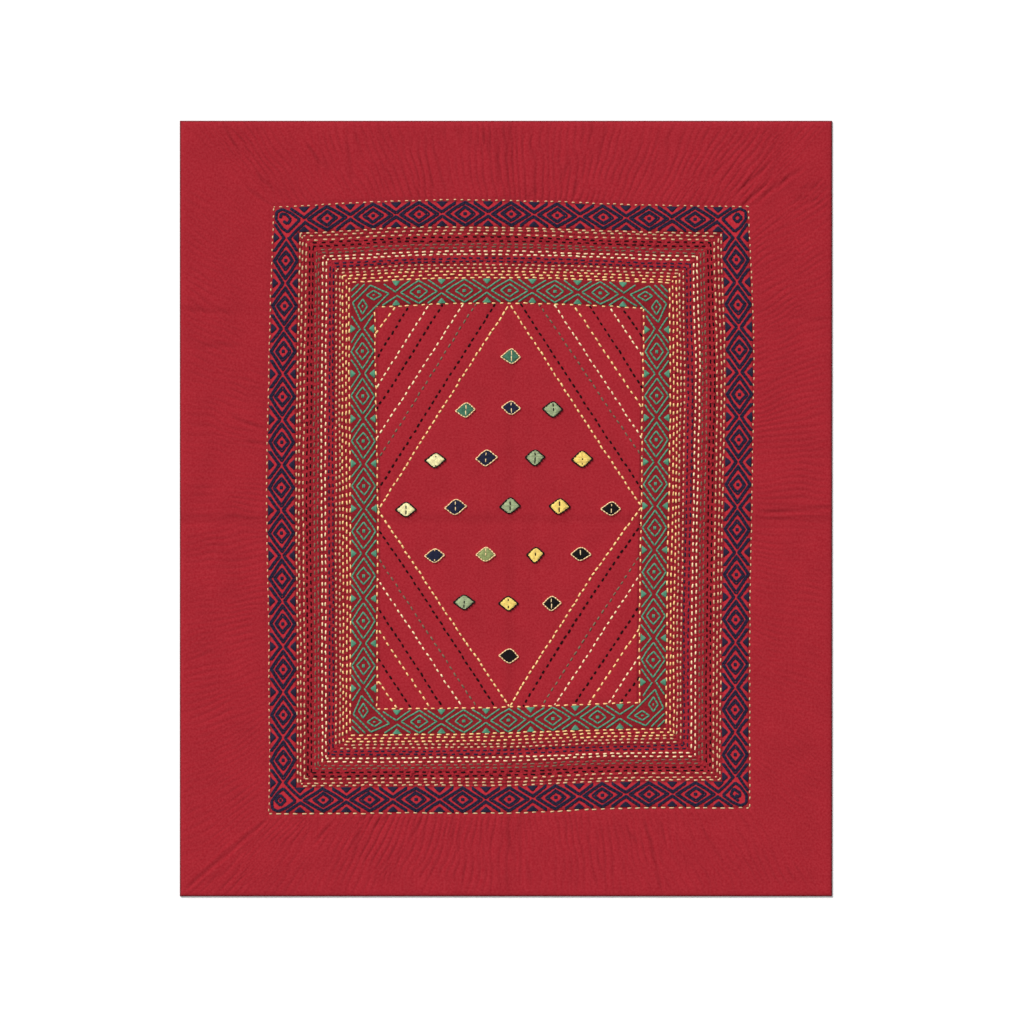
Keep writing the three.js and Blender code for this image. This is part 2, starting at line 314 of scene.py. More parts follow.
# %% Chart of the eyes
EYE_COLUMNS = ("x", "y", "fill", "line", "left", "top", "right", "bottom", "tie")
EYE_CHART = chart(EYE_COLUMNS, (
    (6.2, 210.5, "green", "gold",
     (-13.5, -1.1), (1.6, 9.6), (13.5, -1.8), (1.6, -10.6), ((8, -0.2), (0.6, -8))),
    (-56.3, 136.0, "green", "gold",
     (-13.5, -1.5), (1.6, 9.8), (13.9, 0.9), (0.5, -10.2), ((7.5, 0.2), (-0.2, -7.6))),
    (6.9, 138.7, "navy", "gold",
     (-13.0, 1.2), (0.4, 9.4), (13.1, -0.7), (0.4, -9.1), ((7.8, 3), (0.3, -7.6))),
    (64.5, 136.5, "sage", "black",
     (-14.4, 1.1), (1.1, 11.1), (13.7, 0.3), (0.5, -10.6), ((9, 3.5), (3, -2.8))),
    (-97.3, 66.3, "cream", "black",
     (-15.3, -0.1), (0.9, 10.4), (14.5, 1.7), (-0.5, -10.1), ((6, 4.4), (-6, -9.4))),
    (-26.8, 70.4, "navy", "gold",
     (-15.1, -2.0), (-0.2, 10.5), (15.7, 0.6), (-1.2, -11.6), ((7.2, 2.2), (-1.2, -6.8))),
    (40.6, 69.7, "sage", "black",
     (-14.3, 0.9), (-0.6, 11.4), (13.4, 1.4), (-0.6, -10.9), ((8, 3), (2.2, -8.8))),
    (104.9, 68.3, "yellow", "black",
     (-14.8, -1.0), (0.3, 11.4), (15.1, 0.2), (0.4, -11.3), ((1.2, -1.4), (-5.8, -7.4))),
    (-137.2, -1.5, "cream", "black",
     (-15.6, -0.4), (-0.3, 10.1), (14.1, -0.1), (-0.5, -9.7), ((6, 0.4), (-0.4, -7.2))),
    (-69.4, 3.5, "navy", "gold",
     (-15.3, -3.2), (0.5, 9.3), (15.5, -0.3), (-0.8, -12.0), ((6.8, 0.8), (-1.0, -6.8))),
    (6.2, 3.5, "sage", "black",
     (-15.3, -1.5), (0.1, 11.5), (13.8, 0.0), (-1.1, -10.3), ((7, 0.8), (0.2, -7.2))),
    (74.3, 2.6, "yellow", "black",
     (-15.0, 0.9), (0.9, 11.3), (14.5, -0.3), (-2.2, -10.6), ((8, 0.2), (-0.2, -8.6))),
    (144.3, 0.7, "black", "gold",
     (-13.5, -1.4), (1.8, 8.5), (14.2, -1.4), (1.0, -10.2), ((5.8, 2), (-0.4, -7.4))),
    (-99.0, -64.2, "navy", "gold",
     (-13.4, -1.2), (1.4, 8.5), (14.5, -0.3), (0.2, -10.4), ((8.2, 5.2), (-5.6, -8.6))),
    (-28.0, -62.5, "leaf", "gold",
     (-13.5, -1.5), (0.9, 9.1), (13.7, -1.5), (-0.2, -10.1), ((8.4, 2.4), (1.6, -3))),
    (41.0, -63.9, "yellow", "black",
     (-12.8, -0.2), (0.1, 10.2), (11.7, 2.0), (-1.0, -11.0), ((3.3, -1.8),)),
    (103.1, -62.0, "black", "gold",
     (-13.7, -1.0), (0.8, 8.8), (14.4, -1.2), (-1.2, -9.9), ((5.8, -3),)),
    (-57.1, -130.0, "sage", "black",
     (-15.7, 0.6), (-1.1, 10.5), (14.3, 1.3), (-0.1, -9.4), ((3.2, -1.4), (-2.2, -7.4))),
    (3.9, -131.3, "yellow", "black",
     (-14.4, 0.4), (-0.9, 9.9), (13.6, 0.1), (-0.2, -9.7), ((6.9, 3.8), (-2.6, -6.4))),
    (62.9, -130.4, "black", "gold",
     (-12.2, -0.9), (0.4, 9.1), (13.5, 0.3), (-0.6, -10.5), ((6.9, 0.2), (-0.3, -8.2))),
    (4.1, -202.8, "black", "gold",
     (-14.1, 0.0), (1.1, 9.5), (13.6, -1.7), (0.5, -10.1), ()),
))
print(len(EYE_CHART), "eyes")

# %% The outline of an eye
EYE_BULGE = 1.15
TIP_BULGE = -0.3
CROWN_BULGE = 1.5
QUARTER_LEGS = 4


def eye_loop(eye):
    """Places round an eye, from its left tip over the top and back. It bulges most near top and bottom."""
    corners = np.array([eye[name] for name in ("left", "top", "right", "bottom", "left")], float)
    share = np.arange(QUARTER_LEGS)[:, None] / QUARTER_LEGS
    edges = []
    for number, (start, stop) in enumerate(zip(corners[:-1], corners[1:])):
        run = stop - start
        from_tip = share if number % 2 == 0 else 1 - share
        bulge = 4 * EYE_BULGE * share * (1 - share) * mix(TIP_BULGE, CROWN_BULGE, from_tip)
        edges.append(start + run * share + square_to(run) * bulge)
    return np.concatenate(edges + [corners[-1:]]) + np.array([eye["x"], eye["y"]])


print("the first eye is", np.ptp(eye_loop(EYE_CHART[0]), axis=0).round(1), "mm long and high")

# %% [markdown]
# ## The shape of the cloth
# A stitched quilt is never flat. The plain border ripples between the quilting stitches, the cloth sinks
# under each row, swells in the dense bands and keeps the creases of folding. Blender could simulate this,
# but a quilt that lies flat has nothing to drape, and the ripples come from thousands of stitches. So one
# height function, in plain numbers, gives the face at any place. The cloth and every thread read it, and
# so they always fit.

# %% Soft noise for hand-made unevenness
NOISE_COLUMNS = ("height", "across", "along", "seed")
NOISE_CELLS = 61
NOISE_SHIFT = 500


def soft_noise(x, y, across, along, seed):
    """Smooth hills and hollows from -1 to 1, of about that size in mm across and along."""
    lattice = np.random.default_rng(seed).uniform(-1, 1, (NOISE_CELLS, NOISE_CELLS))
    column = x / across + NOISE_SHIFT
    row = y / along + NOISE_SHIFT
    left = np.floor(column).astype(int)
    low = np.floor(row).astype(int)
    right_part = smooth(column - left)
    high_part = smooth(row - low)
    size = len(lattice)
    left_column, right_column = left % size, (left + 1) % size
    low_row, high_row = low % size, (low + 1) % size
    bottom = mix(lattice[left_column, low_row], lattice[right_column, low_row], right_part)
    top = mix(lattice[left_column, high_row], lattice[right_column, high_row], right_part)
    return mix(bottom, top, high_part)


def layered_noise(x, y, layers):
    """Soft noise of several sizes, one on top of the other."""
    hills = 0
    for layer in layers:
        hills = hills + layer["height"] * soft_noise(x, y, layer["across"], layer["along"], layer["seed"])
    return hills


def bell(away):
    """1 on a line, falling off softly on both sides of it."""
    return np.exp(-away * away)


print("a bell at 0, 1 and 2:", bell(np.arange(3)).round(2))

# %% Creases and folds
# Each crease runs from one place to another, in mm, with the depth of its trough.
CREASES = chart(("x", "y", "to_x", "to_y", "depth"), (
    (328.4, 443.4, 354.5, 467.8, 0.9), (327.3, 418.4, 348.0, 436.9, 0.9),
    (348.0, 436.9, 363.2, 449.9, 0.6), (354.5, 429.3, 371.3, 444.5, 0.8),
    (378.4, 443.4, 384.9, 453.2, 0.8), (384.9, 453.2, 404.5, 465.0, 0.7),
    (409.9, 443.4, 427.2, 444.5, 0.7), (427.2, 444.5, 442.4, 440.1, 0.7),
    (406.7, 429.3, 429.4, 426.0, 0.7), (429.4, 426.0, 447.0, 414.5, 0.8),
    (-386.9, 530.0, -374.8, 503.2, 0.6), (-353.5, 438.4, -327.3, 420.2, 0.7),
    (-341.4, 458.6, -321.2, 440.4, 0.7), (-272.6, 499.2, -256.3, 476.8, 0.8),
    (-218.0, 497.1, -211.9, 454.6, 0.7), (-29.7, 513.2, -11.5, 485.0, 0.6),
    (-11.5, 485.0, -9.4, 444.5, 0.6), (31.1, 428.2, 41.3, 437.3, 0.7),
    (80.8, 454.6, 83.8, 470.7, 0.7), (95.9, 434.3, 99.9, 450.6, 0.8),
    (-195.3, -423.1, -195.3, -437.3, 0.7), (-195.3, -437.3, -208.4, -459.5, 0.7),
    (-208.4, -459.5, -207.5, -481.8, 0.6), (-245.9, -441.3, -258.0, -454.4, 0.8),
    (-70.8, -423.1, -72.7, -463.5, 0.6), (-61.7, -443.4, -64.7, -473.8, 0.6),
    (-162.9, -425.2, -177.1, -435.2, 0.6), (-116.4, -431.2, -132.5, -457.5, 0.6),
    (1.1, -443.4, 13.3, -483.8, 0.6), (21.4, -423.0, 21.4, -510.0, 0.5),
    (169.1, -445.3, 181.3, -462.6, 0.8), (191.5, -433.2, 201.5, -459.5, 0.7),
    (201.5, -459.5, 214.7, -522.3, 0.6), (213.7, -433.2, 219.8, -459.5, 0.6),
    (272.4, -443.4, 298.7, -485.9, 0.6), (-435.0, -519.0, -335.0, -434.0, 0.6),
    (-436.5, 273.6, -381.8, 271.0, 0.7), (-422.4, 223.1, -373.7, 225.5, 0.7),
    (-377.8, 125.9, -335.3, 109.6, 0.7), (-351.4, 166.3, -335.3, 164.3, 0.6),
    (-353.5, 91.4, -331.2, 87.4, 0.6), (390.7, 265.6, 447.0, 259.5, 0.6),
    (354.2, -5.8, 447.0, 0.3, 0.7),
))
# Long soft folds right across the quilt, from the way that it was put away.
FOLDS = chart(("axis", "at", "depth"), (("y", -16.0, 0.5), ("y", 274.0, 0.25), ("x", 6.0, 0.35)))
print(len(CREASES), "creases and", len(FOLDS), "folds")

# %% How far they press the cloth down
CREASE_HALF_WIDTH = 2.6
CREASE_LIP = 0.35
CREASE_LIP_AT = 2.2
FOLD_HALF_WIDTH = 7.0


def distance_to_line(x, y, start, stop):
    """How far places lie from a straight stretch with two ends."""
    run = np.asarray(stop, float) - np.asarray(start, float)
    share = ((x - start[0]) * run[0] + (y - start[1]) * run[1]) / (run @ run)
    share = np.clip(share, 0, 1)
    return np.hypot(x - start[0] - share * run[0], y - start[1] - share * run[1])


def creases_and_folds(x, y):
    """How far creases and folds press the cloth down, in mm, with a low lip beside each crease."""
    dip = np.zeros(x.shape)
    for crease in CREASES:
        start = (crease["x"], crease["y"])
        stop = (crease["to_x"], crease["to_y"])
        away = distance_to_line(x, y, start, stop) / CREASE_HALF_WIDTH
        dip += crease["depth"] * (bell(away) - CREASE_LIP * bell(away - CREASE_LIP_AT))
    for fold in FOLDS:
        away = ((y if fold["axis"] == "y" else x) - fold["at"]) / FOLD_HALF_WIDTH
        dip += fold["depth"] * bell(away)
    return dip


print("the middle is pressed down", creases_and_folds(np.zeros(1), np.zeros(1)).round(2), "mm")

# %% [markdown]
# The border's ripples run in from the edge and fan out at the corners, as long as the quilting stitch is.
# Each is a broad round ridge with a narrow trough. Two sets of ripples are mixed in patches, so lines
# bend, fork and fade as they do on the real cloth.

# %% Ripples of the border
RIPPLES = {"bottom": 77, "right": 107, "top": 77, "left": 107}
RIPPLE_SPAN = {"across": 780.0, "along": 955.0}
RIPPLE_HEIGHT = {"bottom": 0.36, "right": 0.26, "top": 0.47, "left": 0.25}
RIPPLE_SWAY = chart(NOISE_COLUMNS, ((0.85, 46, 46, 11), (0.55, 24, 24, 12)))
OTHER_SWAY = chart(NOISE_COLUMNS, ((0.85, 52, 52, 13), (0.55, 27, 27, 14)))
RIPPLE_PATCHES = chart(NOISE_COLUMNS, ((2.4, 38, 38, 15),))
RIPPLE_CHANGES = chart(NOISE_COLUMNS, ((0.4, 60, 60, 16), (0.4, 28, 28, 17)))
UPRIGHT_SHARE = 0.45
TROUGH_WIDTH = 0.40
USUAL_STRENGTH = 0.9
LEAST_STRENGTH = 0.45
MOST_STRENGTH = 1.5
CORNER_STRENGTH = 0.6
CORNER_SHARE = 0.07
FADED_STRENGTH = 0.25
EDGE_FADE = 30
FRAME_FADE = 7


def by_side(values, side):
    """What a table with one value for every side gives at each place."""
    return np.array([values[name] for name in SIDES])[side]


def ripple_profile(turns):
    """1 in the narrow trough of a ripple, 0 on its round ridge."""
    return bell(np.sin(np.pi * turns) / TROUGH_WIDTH)


def ripple_troughs(x, y, ring, share, side):
    """How deep in a ripple's trough a place on the border lies, from 0 to about 1."""
    across = np.isin(side, [SIDES.index(name) for name in ACROSS])
    upright = np.where(across, x / RIPPLE_SPAN["across"], y / RIPPLE_SPAN["along"]) + 0.5
    turns = by_side(RIPPLES, side) * mix(share, upright, UPRIGHT_SHARE)
    one_set = ripple_profile(turns + layered_noise(x, y, RIPPLE_SWAY))
    other_set = ripple_profile(turns + layered_noise(x, y, OTHER_SWAY))
    trough = mix(one_set, other_set, smooth(0.5 + layered_noise(x, y, RIPPLE_PATCHES)))
    strength = np.clip(USUAL_STRENGTH + layered_noise(x, y, RIPPLE_CHANGES), LEAST_STRENGTH, MOST_STRENGTH)
    strength = strength * mix(CORNER_STRENGTH, 1, smooth(np.minimum(share, 1 - share) / CORNER_SHARE))
    fade = smooth((1 + ring) * FRAME_DEPTH / EDGE_FADE) * smooth(-ring * FRAME_DEPTH / FRAME_FADE)
    return np.where(ring < 0, trough * strength * mix(FADED_STRENGTH, 1, fade), 0)


print(sum(RIPPLES.values()), "ripples round the border")

# %% Furrows, bands and mounds
FURROW_DEPTH = 0.5
FURROW_HALF_WIDTH = 1.5
BAND_RISE = 0.45
BAND_SHOULDER = 4
EYE_RISE = 0.5
EYE_MOUND = {"half_length": 19, "half_height": 15, "spread": 1.25}
FIELD_START = 0.97
FIELD_FADE = 0.06
FIELD_STREAKS = chart(NOISE_COLUMNS, ((0.14, 7, 120, 21), (0.16, 24, 30, 22)))


def frame_relief(ring):
    """Furrows under the rows and the fuller cloth of the two bands."""
    depth = ring * FRAME_DEPTH
    relief = np.zeros(ring.shape)
    for row in ROW_CHART:
        relief -= FURROW_DEPTH * bell((depth - row["depth"]) / FURROW_HALF_WIDTH)
    for band in (NAVY_BAND, GREEN_BAND):
        inside = band["half"] - np.abs(depth - band["middle"])
        relief += BAND_RISE * smooth(inside / BAND_SHOULDER)
    return relief


def field_relief(x, y, ring):
    """Furrows under the straight rows, a low mound under each eye and faint streaks in the plain cloth."""
    relief = layered_noise(x, y, FIELD_STREAKS)
    for line in FIELD_LINES:
        legs = zip(line["places"][:-1], line["places"][1:])
        away = np.min([distance_to_line(x, y, start, stop) for start, stop in legs], 0)
        relief -= FURROW_DEPTH * bell(away / FURROW_HALF_WIDTH)
    for eye in EYE_CHART:
        sideways = np.abs(x - eye["x"]) / EYE_MOUND["half_length"]
        upwards = np.abs(y - eye["y"]) / EYE_MOUND["half_height"]
        relief += EYE_RISE * smooth(EYE_MOUND["spread"] - (sideways + upwards))
    return relief * smooth((ring - FIELD_START) / FIELD_FADE)


print("the outline row's furrow:", frame_relief(np.zeros(1)).round(2), "mm")

# %% The face of the cloth at any place
CLOTH_THICKNESS = 2.8
EDGE_THICKNESS = 1.6
HEM_DEPTH = 7.0
CRUMPLE = chart(NOISE_COLUMNS, ((0.28, 44, 44, 31), (0.12, 15, 15, 32)))


def from_cut_edge(x, y):
    return np.minimum(WIDTH / 2 - np.abs(x), LENGTH / 2 - np.abs(y))


def cloth_height(x, y):
    """Height of the quilt's face over the surface that it lies on, in mm."""
    ring, share, side = frame_place(x, y)
    hem = np.sqrt(np.clip(from_cut_edge(x, y) / HEM_DEPTH, 0, 1))
    height = by_side(RIPPLE_HEIGHT, side)
    relief = layered_noise(x, y, CRUMPLE) - 2 * height * ripple_troughs(x, y, ring, share, side)
    relief += height * (ring < 0) + frame_relief(ring) + field_relief(x, y, ring)
    relief -= creases_and_folds(x, y)
    return mix(EDGE_THICKNESS, CLOTH_THICKNESS + relief, smooth(hem))


probe_x = np.array([0.0, 0.0, 6.2])
probe_y = np.array([-480.0, 300.0, 210.5])
print("face heights in mm:", cloth_height(probe_x, probe_y).round(2))

# %% [markdown]
# Cloth looks darker where light can't reach, and here that shade is painted into the cloth's colour: in
# troughs and creases, between close rows, beside the lone rows and along the cut edge. The red between the
# navy lines is painted lighter, and the red between the green lines is painted darker. The mesh carries
# this painted light and shade as a colour of its own, so one finish serves the whole cloth. A second value
# marks where close rows pucker it.

# %% Painted shade and puckers at any place
# Painted shade: how much it darkens the cloth in ripple troughs, in creases, between close rows of each
# thread, beside the lone rows and along the cut edge.
RIPPLE_SHADE = 0.34
CREASE_SHADE = 0.15
ROW_SHADE = {"sage": 0.47, "cream": 0.44, "gold": 0.40, "maroon": 0.11, "navy": 0.08, "grey_green": 0.26}
UNDER_THREAD = 0.6
SHADE_RUN = 1.6
LONE_ROW_SHADE = 0.35
LONE_ROW_SHADE_AT = 2.2
LONE_ROW_SHADE_WIDTH = 1.2
EDGE_SHADE = 0.42
EDGE_SHADE_START = 0.6
EDGE_SHADE_RUN = 2.0
BAND_MARGIN = 1
BAND_RUN = 3
ROWS_MARGIN = 3
PUCKER_MARGIN = 5
PUCKER_RUN = 4
ROW_DEPTHS = np.array([row["depth"] for row in ROW_CHART])
CLOSE_ROWS_START = ROW_DEPTHS[1]
CLOSE_ROWS_END = ROW_DEPTHS[-2]


def cloth_shade(x, y):
    """How much of its colour the cloth shows at a place: painted shade, and painted light in the navy band.
    """
    ring, share, side = frame_place(x, y)
    depth = ring * FRAME_DEPTH
    # Painted shade in the ripples' troughs and in creases and folds.
    ripple_shade = RIPPLE_SHADE * by_side(RIPPLE_HEIGHT, side)
    shade_left = 1 - ripple_shade * ripple_troughs(x, y, ring, share, side)
    shade_left = shade_left - CREASE_SHADE * np.clip(creases_and_folds(x, y), 0, 1)
    # Painted shade midway between close rows, as much as the nearest row's thread gives, and on both sides of
    # the lone rows.
    away = np.abs(depth[..., None] - ROW_DEPTHS)
    from_row = away.min(-1)
    dark = np.array([ROW_SHADE[row["thread"]] for row in ROW_CHART])[away.argmin(-1)]
    among = shade_left * (1 - dark * smooth((from_row - UNDER_THREAD) / SHADE_RUN))
    beside = bell((from_row - LONE_ROW_SHADE_AT) / LONE_ROW_SHADE_WIDTH)
    close = (depth > CLOSE_ROWS_START - ROWS_MARGIN) & (depth < CLOSE_ROWS_END + ROWS_MARGIN)
    shade_left = np.where(close, among, shade_left * (1 - LONE_ROW_SHADE * beside))
    # Painted light on the navy band's cloth and painted shade on the green band's.
    for band in (NAVY_BAND, GREEN_BAND):
        inside = band["half"] + BAND_MARGIN - np.abs(depth - band["middle"])
        shade_left = shade_left * (1 + band["shade"] * smooth(inside / BAND_RUN))
    # Painted shade along the cut edge.
    painted_shade_mix = smooth((from_cut_edge(x, y) - EDGE_SHADE_START) / EDGE_SHADE_RUN)
    return shade_left * mix(EDGE_SHADE, 1, painted_shade_mix)


def pucker_share(x, y):
    """Where close rows pucker the cloth between their stitches: 1 among them, 0 elsewhere."""
    depth = frame_place(x, y)[0] * FRAME_DEPTH
    start = smooth((depth - CLOSE_ROWS_START + PUCKER_MARGIN) / PUCKER_RUN)
    return start * smooth((CLOSE_ROWS_END + ROWS_MARGIN - depth) / PUCKER_RUN)


print("close rows lie", CLOSE_ROWS_START, "to", CLOSE_ROWS_END, "mm in from the outline row")

# %% [markdown]
# ## The cloth
# The sheet is built as loops of points, from the underside's rim over the turned edge and inwards to the
# field, which is a grid. Loops suit a quilt because its rows run round it: the border takes fine steps
# along its ripples and coarse steps across them, and the frame takes a loop in every furrow and on every
# ridge.

# %% Mesh from arrays
def add_object(name, data):
    added = bpy.data.objects.new(name, data)
    bpy.context.scene.collection.objects.link(added)
    return added


def make_piece(name, points, quads, triangles=None):
    """A smooth-shaded object from points in mm and arrays of corner numbers."""
    triangles = np.zeros((0, 3), int) if triangles is None else triangles
    corners = np.concatenate([np.ravel(quads), np.ravel(triangles)]).astype(np.int32)
    sizes = np.concatenate([np.full(len(quads), 4), np.full(len(triangles), 3)])
    mesh = bpy.data.meshes.new(name)
    mesh.vertices.add(len(points))
    mesh.vertices.foreach_set("co", (np.asarray(points) * MM).astype(np.float32).ravel())
    mesh.loops.add(len(corners))
    mesh.polygons.add(len(sizes))
    mesh.polygons.foreach_set("loop_start", np.concatenate([[0], np.cumsum(sizes)[:-1]]).astype(np.int32))
    mesh.polygons.foreach_set("vertices", corners)
    mesh.polygons.foreach_set("use_smooth", np.ones(len(sizes), bool))
    mesh.update(calc_edges=True)
    mesh.validate()
    piece = add_object(name, mesh)
    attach(piece, "root")
    print(name, "has", 2 * len(quads) + len(triangles), "triangles")
    return piece


print("one mm is", MM, "m in the scene")

# %% Loops of the cloth
BORDER_STEPS = 500
FRAME_STEPS = 140
HEM_RINGS = [-1.0, -0.992, -0.98, -0.96]
BORDER_RINGS = [*np.linspace(-0.92, -0.06, 15), -0.03]
BAND_LOOPS = (-0.94, -0.75, -0.3, 0.3, 0.75, 0.94)
LONE_LOOPS = [0.0, 1.6, 37.2, 112.3, 145.0, 147.0]


def loop_places(steps, ring):
    """One loop of places round the quilt, anticlockwise, with the same number of steps on every side."""
    share = np.arange(steps) / steps
    shares = {"bottom": share, "right": share, "top": 1 - share, "left": 1 - share}
    return np.concatenate([row_places(side, shares[side], ring) for side in SIDES])


def frame_rings():
    """The frame's rings that carry a loop: a furrow and a ridge for every close row, and the two bands."""
    bands = []
    for band in (NAVY_BAND, GREEN_BAND):
        bands += [band["middle"] + share * band["half"] for share in BAND_LOOPS]
    furrows = [row["depth"] for row in ROW_CHART[1:-1]]
    ridges = [(depth + after) / 2 for depth, after in zip(furrows[:-1], furrows[1:])]
    return [depth / FRAME_DEPTH for depth in sorted(furrows + ridges + bands + LONE_LOOPS)]


print(len(HEM_RINGS + BORDER_RINGS), "loops on the border and", len(frame_rings()), "on the frame")


# %% Strips between loops
def band_of_quads(first, second, count):
    """Corner numbers of the strip between two loops of equal count that start at those numbers."""
    step = np.arange(count)
    after = (step + 1) % count
    return np.stack([first + step, first + after, second + after, second + step], -1)


def strip_between(outer, outer_count, inner, inner_count):
    """Triangles that join a fine loop to a coarser one, side by side."""
    triangles = []
    out = 0
    into = 0
    while out < outer_count or into < inner_count:
        outer_is_next = out < outer_count and (out + 1) / outer_count <= (into + 1) / inner_count
        here = outer + out % outer_count
        there = inner + into % inner_count
        if into == inner_count or outer_is_next:
            triangles.append((here, outer + (out + 1) % outer_count, there))
            out += 1
        else:
            triangles.append((here, inner + (into + 1) % inner_count, there))
            into += 1
    return np.array(triangles)


print("a loop of 8 and one of 4 are joined by", len(strip_between(0, 8, 8, 4)), "triangles")


# %% Lay the loops on the face
def on_face(places):
    return np.column_stack([places, cloth_height(*places.T)])


def on_floor(places):
    return np.column_stack([places, np.zeros(len(places))])


def build_loops():
    """Loops from the rim on the floor over the border and the frame, with the strips between them."""
    inner_rings = frame_rings()
    points = [on_floor(loop_places(BORDER_STEPS, -1.0))]
    for ring in HEM_RINGS + BORDER_RINGS + inner_rings[:2]:
        points.append(on_face(loop_places(BORDER_STEPS, ring)))
    for ring in inner_rings[2:]:
        points.append(on_face(loop_places(FRAME_STEPS, ring)))
    counts = [len(loop) for loop in points]
    starts = np.concatenate([[0], np.cumsum(counts)[:-1]])
    quads = []
    triangles = []
    for number, (count, inner_count) in enumerate(zip(counts[:-1], counts[1:])):
        outer, inner = starts[number], starts[number + 1]
        if count == inner_count:
            quads.append(band_of_quads(outer, inner, count))
        else:
            triangles.append(strip_between(outer, count, inner, inner_count))
    return points, quads, triangles, starts[-1]


loop_points, loop_quads, loop_triangles, field_rim = build_loops()
print(len(loop_points), "loops of", len(loop_points[0]), "to", len(loop_points[-1]), "points")

# %% Fill in the field and the underside
UNDERSIDE_SHARE = 0.3


def build_field(rim):
    """The field's grid, whose rim is the innermost loop: the points inside it and all corner numbers."""
    steps = FRAME_STEPS
    share = np.arange(steps + 1) / steps
    bottom, right, top, left = [row_places(side, share, 1.0) for side in SIDES]
    x = mix(left[None, :, 0], right[None, :, 0], share[:, None])
    y = mix(bottom[:, None, 1], top[:, None, 1], share[None, :])
    number = np.zeros((steps + 1, steps + 1), int)
    step = np.arange(steps)
    number[:-1, 0] = rim + step
    number[-1, :-1] = rim + steps + step
    number[:0:-1, -1] = rim + 2 * steps + step
    number[0, :0:-1] = rim + 3 * steps + step
    number[1:-1, 1:-1] = rim + 4 * steps + np.arange((steps - 1) ** 2).reshape(steps - 1, steps - 1)
    inside = np.column_stack([x[1:-1, 1:-1].ravel(), y[1:-1, 1:-1].ravel()])
    quads = np.stack([number[:-1, :-1], number[1:, :-1], number[1:, 1:], number[:-1, 1:]], -1)
    return on_face(inside), quads.reshape(-1, 4)


def build_underside(first):
    """A flat panel under the quilt, and the strip that joins it to the rim."""
    corners = np.array([[-WIDTH, -LENGTH], [WIDTH, -LENGTH], [WIDTH, LENGTH], [-WIDTH, LENGTH]])
    strip = strip_between(0, 4 * BORDER_STEPS, first, 4)[:, ::-1]
    middle = np.array([[first + 3, first + 2, first + 1, first]])
    return on_floor(UNDERSIDE_SHARE * corners / 2), strip, middle


field_points, field_quads = build_field(field_rim)
under_first = field_rim + 4 * FRAME_STEPS + len(field_points)
under_points, under_strip, under_middle = build_underside(under_first)
print(len(field_points), "points inside the field")

# %% Join everything into one closed sheet
cloth_points = np.concatenate(loop_points + [field_points, under_points])
cloth = make_piece(
    "quilt_cloth",
    cloth_points,
    np.concatenate(loop_quads + [field_quads, under_middle]),
    np.concatenate(loop_triangles + [under_strip]),
)
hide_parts("quilt")

# %% Give the cloth its painted shade and puckers
flat_places = cloth_points[:, :2].T
shade_values = np.repeat(cloth_shade(*flat_places)[:, None], 4, 1)
shade_values[:, 3] = 1
shade_layer = cloth.data.color_attributes.new("shade", "FLOAT_COLOR", "POINT")
shade_layer.data.foreach_set("color", shade_values.astype(np.float32).ravel())
pucker_layer = cloth.data.attributes.new("pucker", "FLOAT", "POINT")
pucker_layer.data.foreach_set("value", pucker_share(*flat_places).astype(np.float32))
print("the cloth keeps", shade_values[:, 0].mean().round(2), "of its colour on average")

# %% [markdown]
# ## A stitch
# On the real quilt each stitch is a plump bit of soft cotton that comes up out of the cloth, lies over it
# and dives back in. A curve with a round bevel would do for one, but there are thousands. So all stitches
# of one thread are made at once as a joined mesh: six-sided, flattened a little, with both ends sunk
# below the cloth's face.

# %% Points and faces of many threads
THREAD_CORNERS = 6


def tube_faces(count, rings):
    """Corner numbers of many short tubes, each with that many rings, closed at both ends."""
    ring = np.arange(rings - 1)[:, None] * THREAD_CORNERS
    corner = np.arange(THREAD_CORNERS)[None, :]
    after = (corner + 1) % THREAD_CORNERS
    beyond = ring + THREAD_CORNERS
    side = np.stack([ring + corner, ring + after, beyond + after, beyond + corner], -1)
    fan = np.arange(1, THREAD_CORNERS - 1)
    last = (rings - 1) * THREAD_CORNERS
    near = np.stack([np.zeros_like(fan), fan + 1, fan], -1)
    far = np.stack([np.full_like(fan, last), last + fan, last + fan + 1], -1)
    shift = np.arange(count)[:, None, None] * rings * THREAD_CORNERS
    quads = (side.reshape(-1, 4)[None] + shift).reshape(-1, 4)
    caps = (np.concatenate([near, far])[None] + shift).reshape(-1, 3)
    return quads, caps


def thread_points(centre, sideways, half_width, half_height):
    """Six corners round every point of the threads' middle lines."""
    angle = 2 * np.pi * np.arange(THREAD_CORNERS) / THREAD_CORNERS
    out = np.cos(angle)[None, None, :, None] * half_width[:, :, None, None] * sideways[:, :, None, :]
    up = np.sin(angle)[None, None, :] * half_height[:, :, None]
    points = centre[:, :, None, :] + np.concatenate([out, up[..., None]], -1)
    return points.reshape(-1, 3)


print("a thread of 5 rings has", len(tube_faces(1, 5)[0]), "faces round it")

# %% Sew many stitches at once
SHAPE_COLUMNS = ("along", "lift", "girth")
STITCH_SHAPE = chart(SHAPE_COLUMNS, (
    (0.00, -0.70, 0.62), (0.14, 0.16, 0.94), (0.50, 0.34, 1.00), (0.86, 0.16, 0.94), (1.00, -0.70, 0.62),
))


def twist_map(piece, rings, lengths):
    """A UV map that runs along and round every thread, for the twist of its strands."""
    quads, caps = tube_faces(1, rings)
    along = np.linspace(0, 1, rings)
    near = along[quads[:, 0] // THREAD_CORNERS]
    far = along[quads[:, 2] // THREAD_CORNERS]
    quad_u = np.stack([near, near, far, far], -1)[None] * lengths[:, None, None]
    first = quads[:, 0] % THREAD_CORNERS
    quad_v = np.stack([first, first + 1, first + 1, first], -1) / THREAD_CORNERS
    quad_uv = np.stack([quad_u, np.broadcast_to(quad_v, quad_u.shape)], -1)
    cap_uv = np.zeros((len(lengths), caps.size, 2))
    layer = piece.data.uv_layers.new(name="twist")
    layer.data.foreach_set("uv", np.concatenate([quad_uv.ravel(), cap_uv.ravel()]).astype(np.float32))


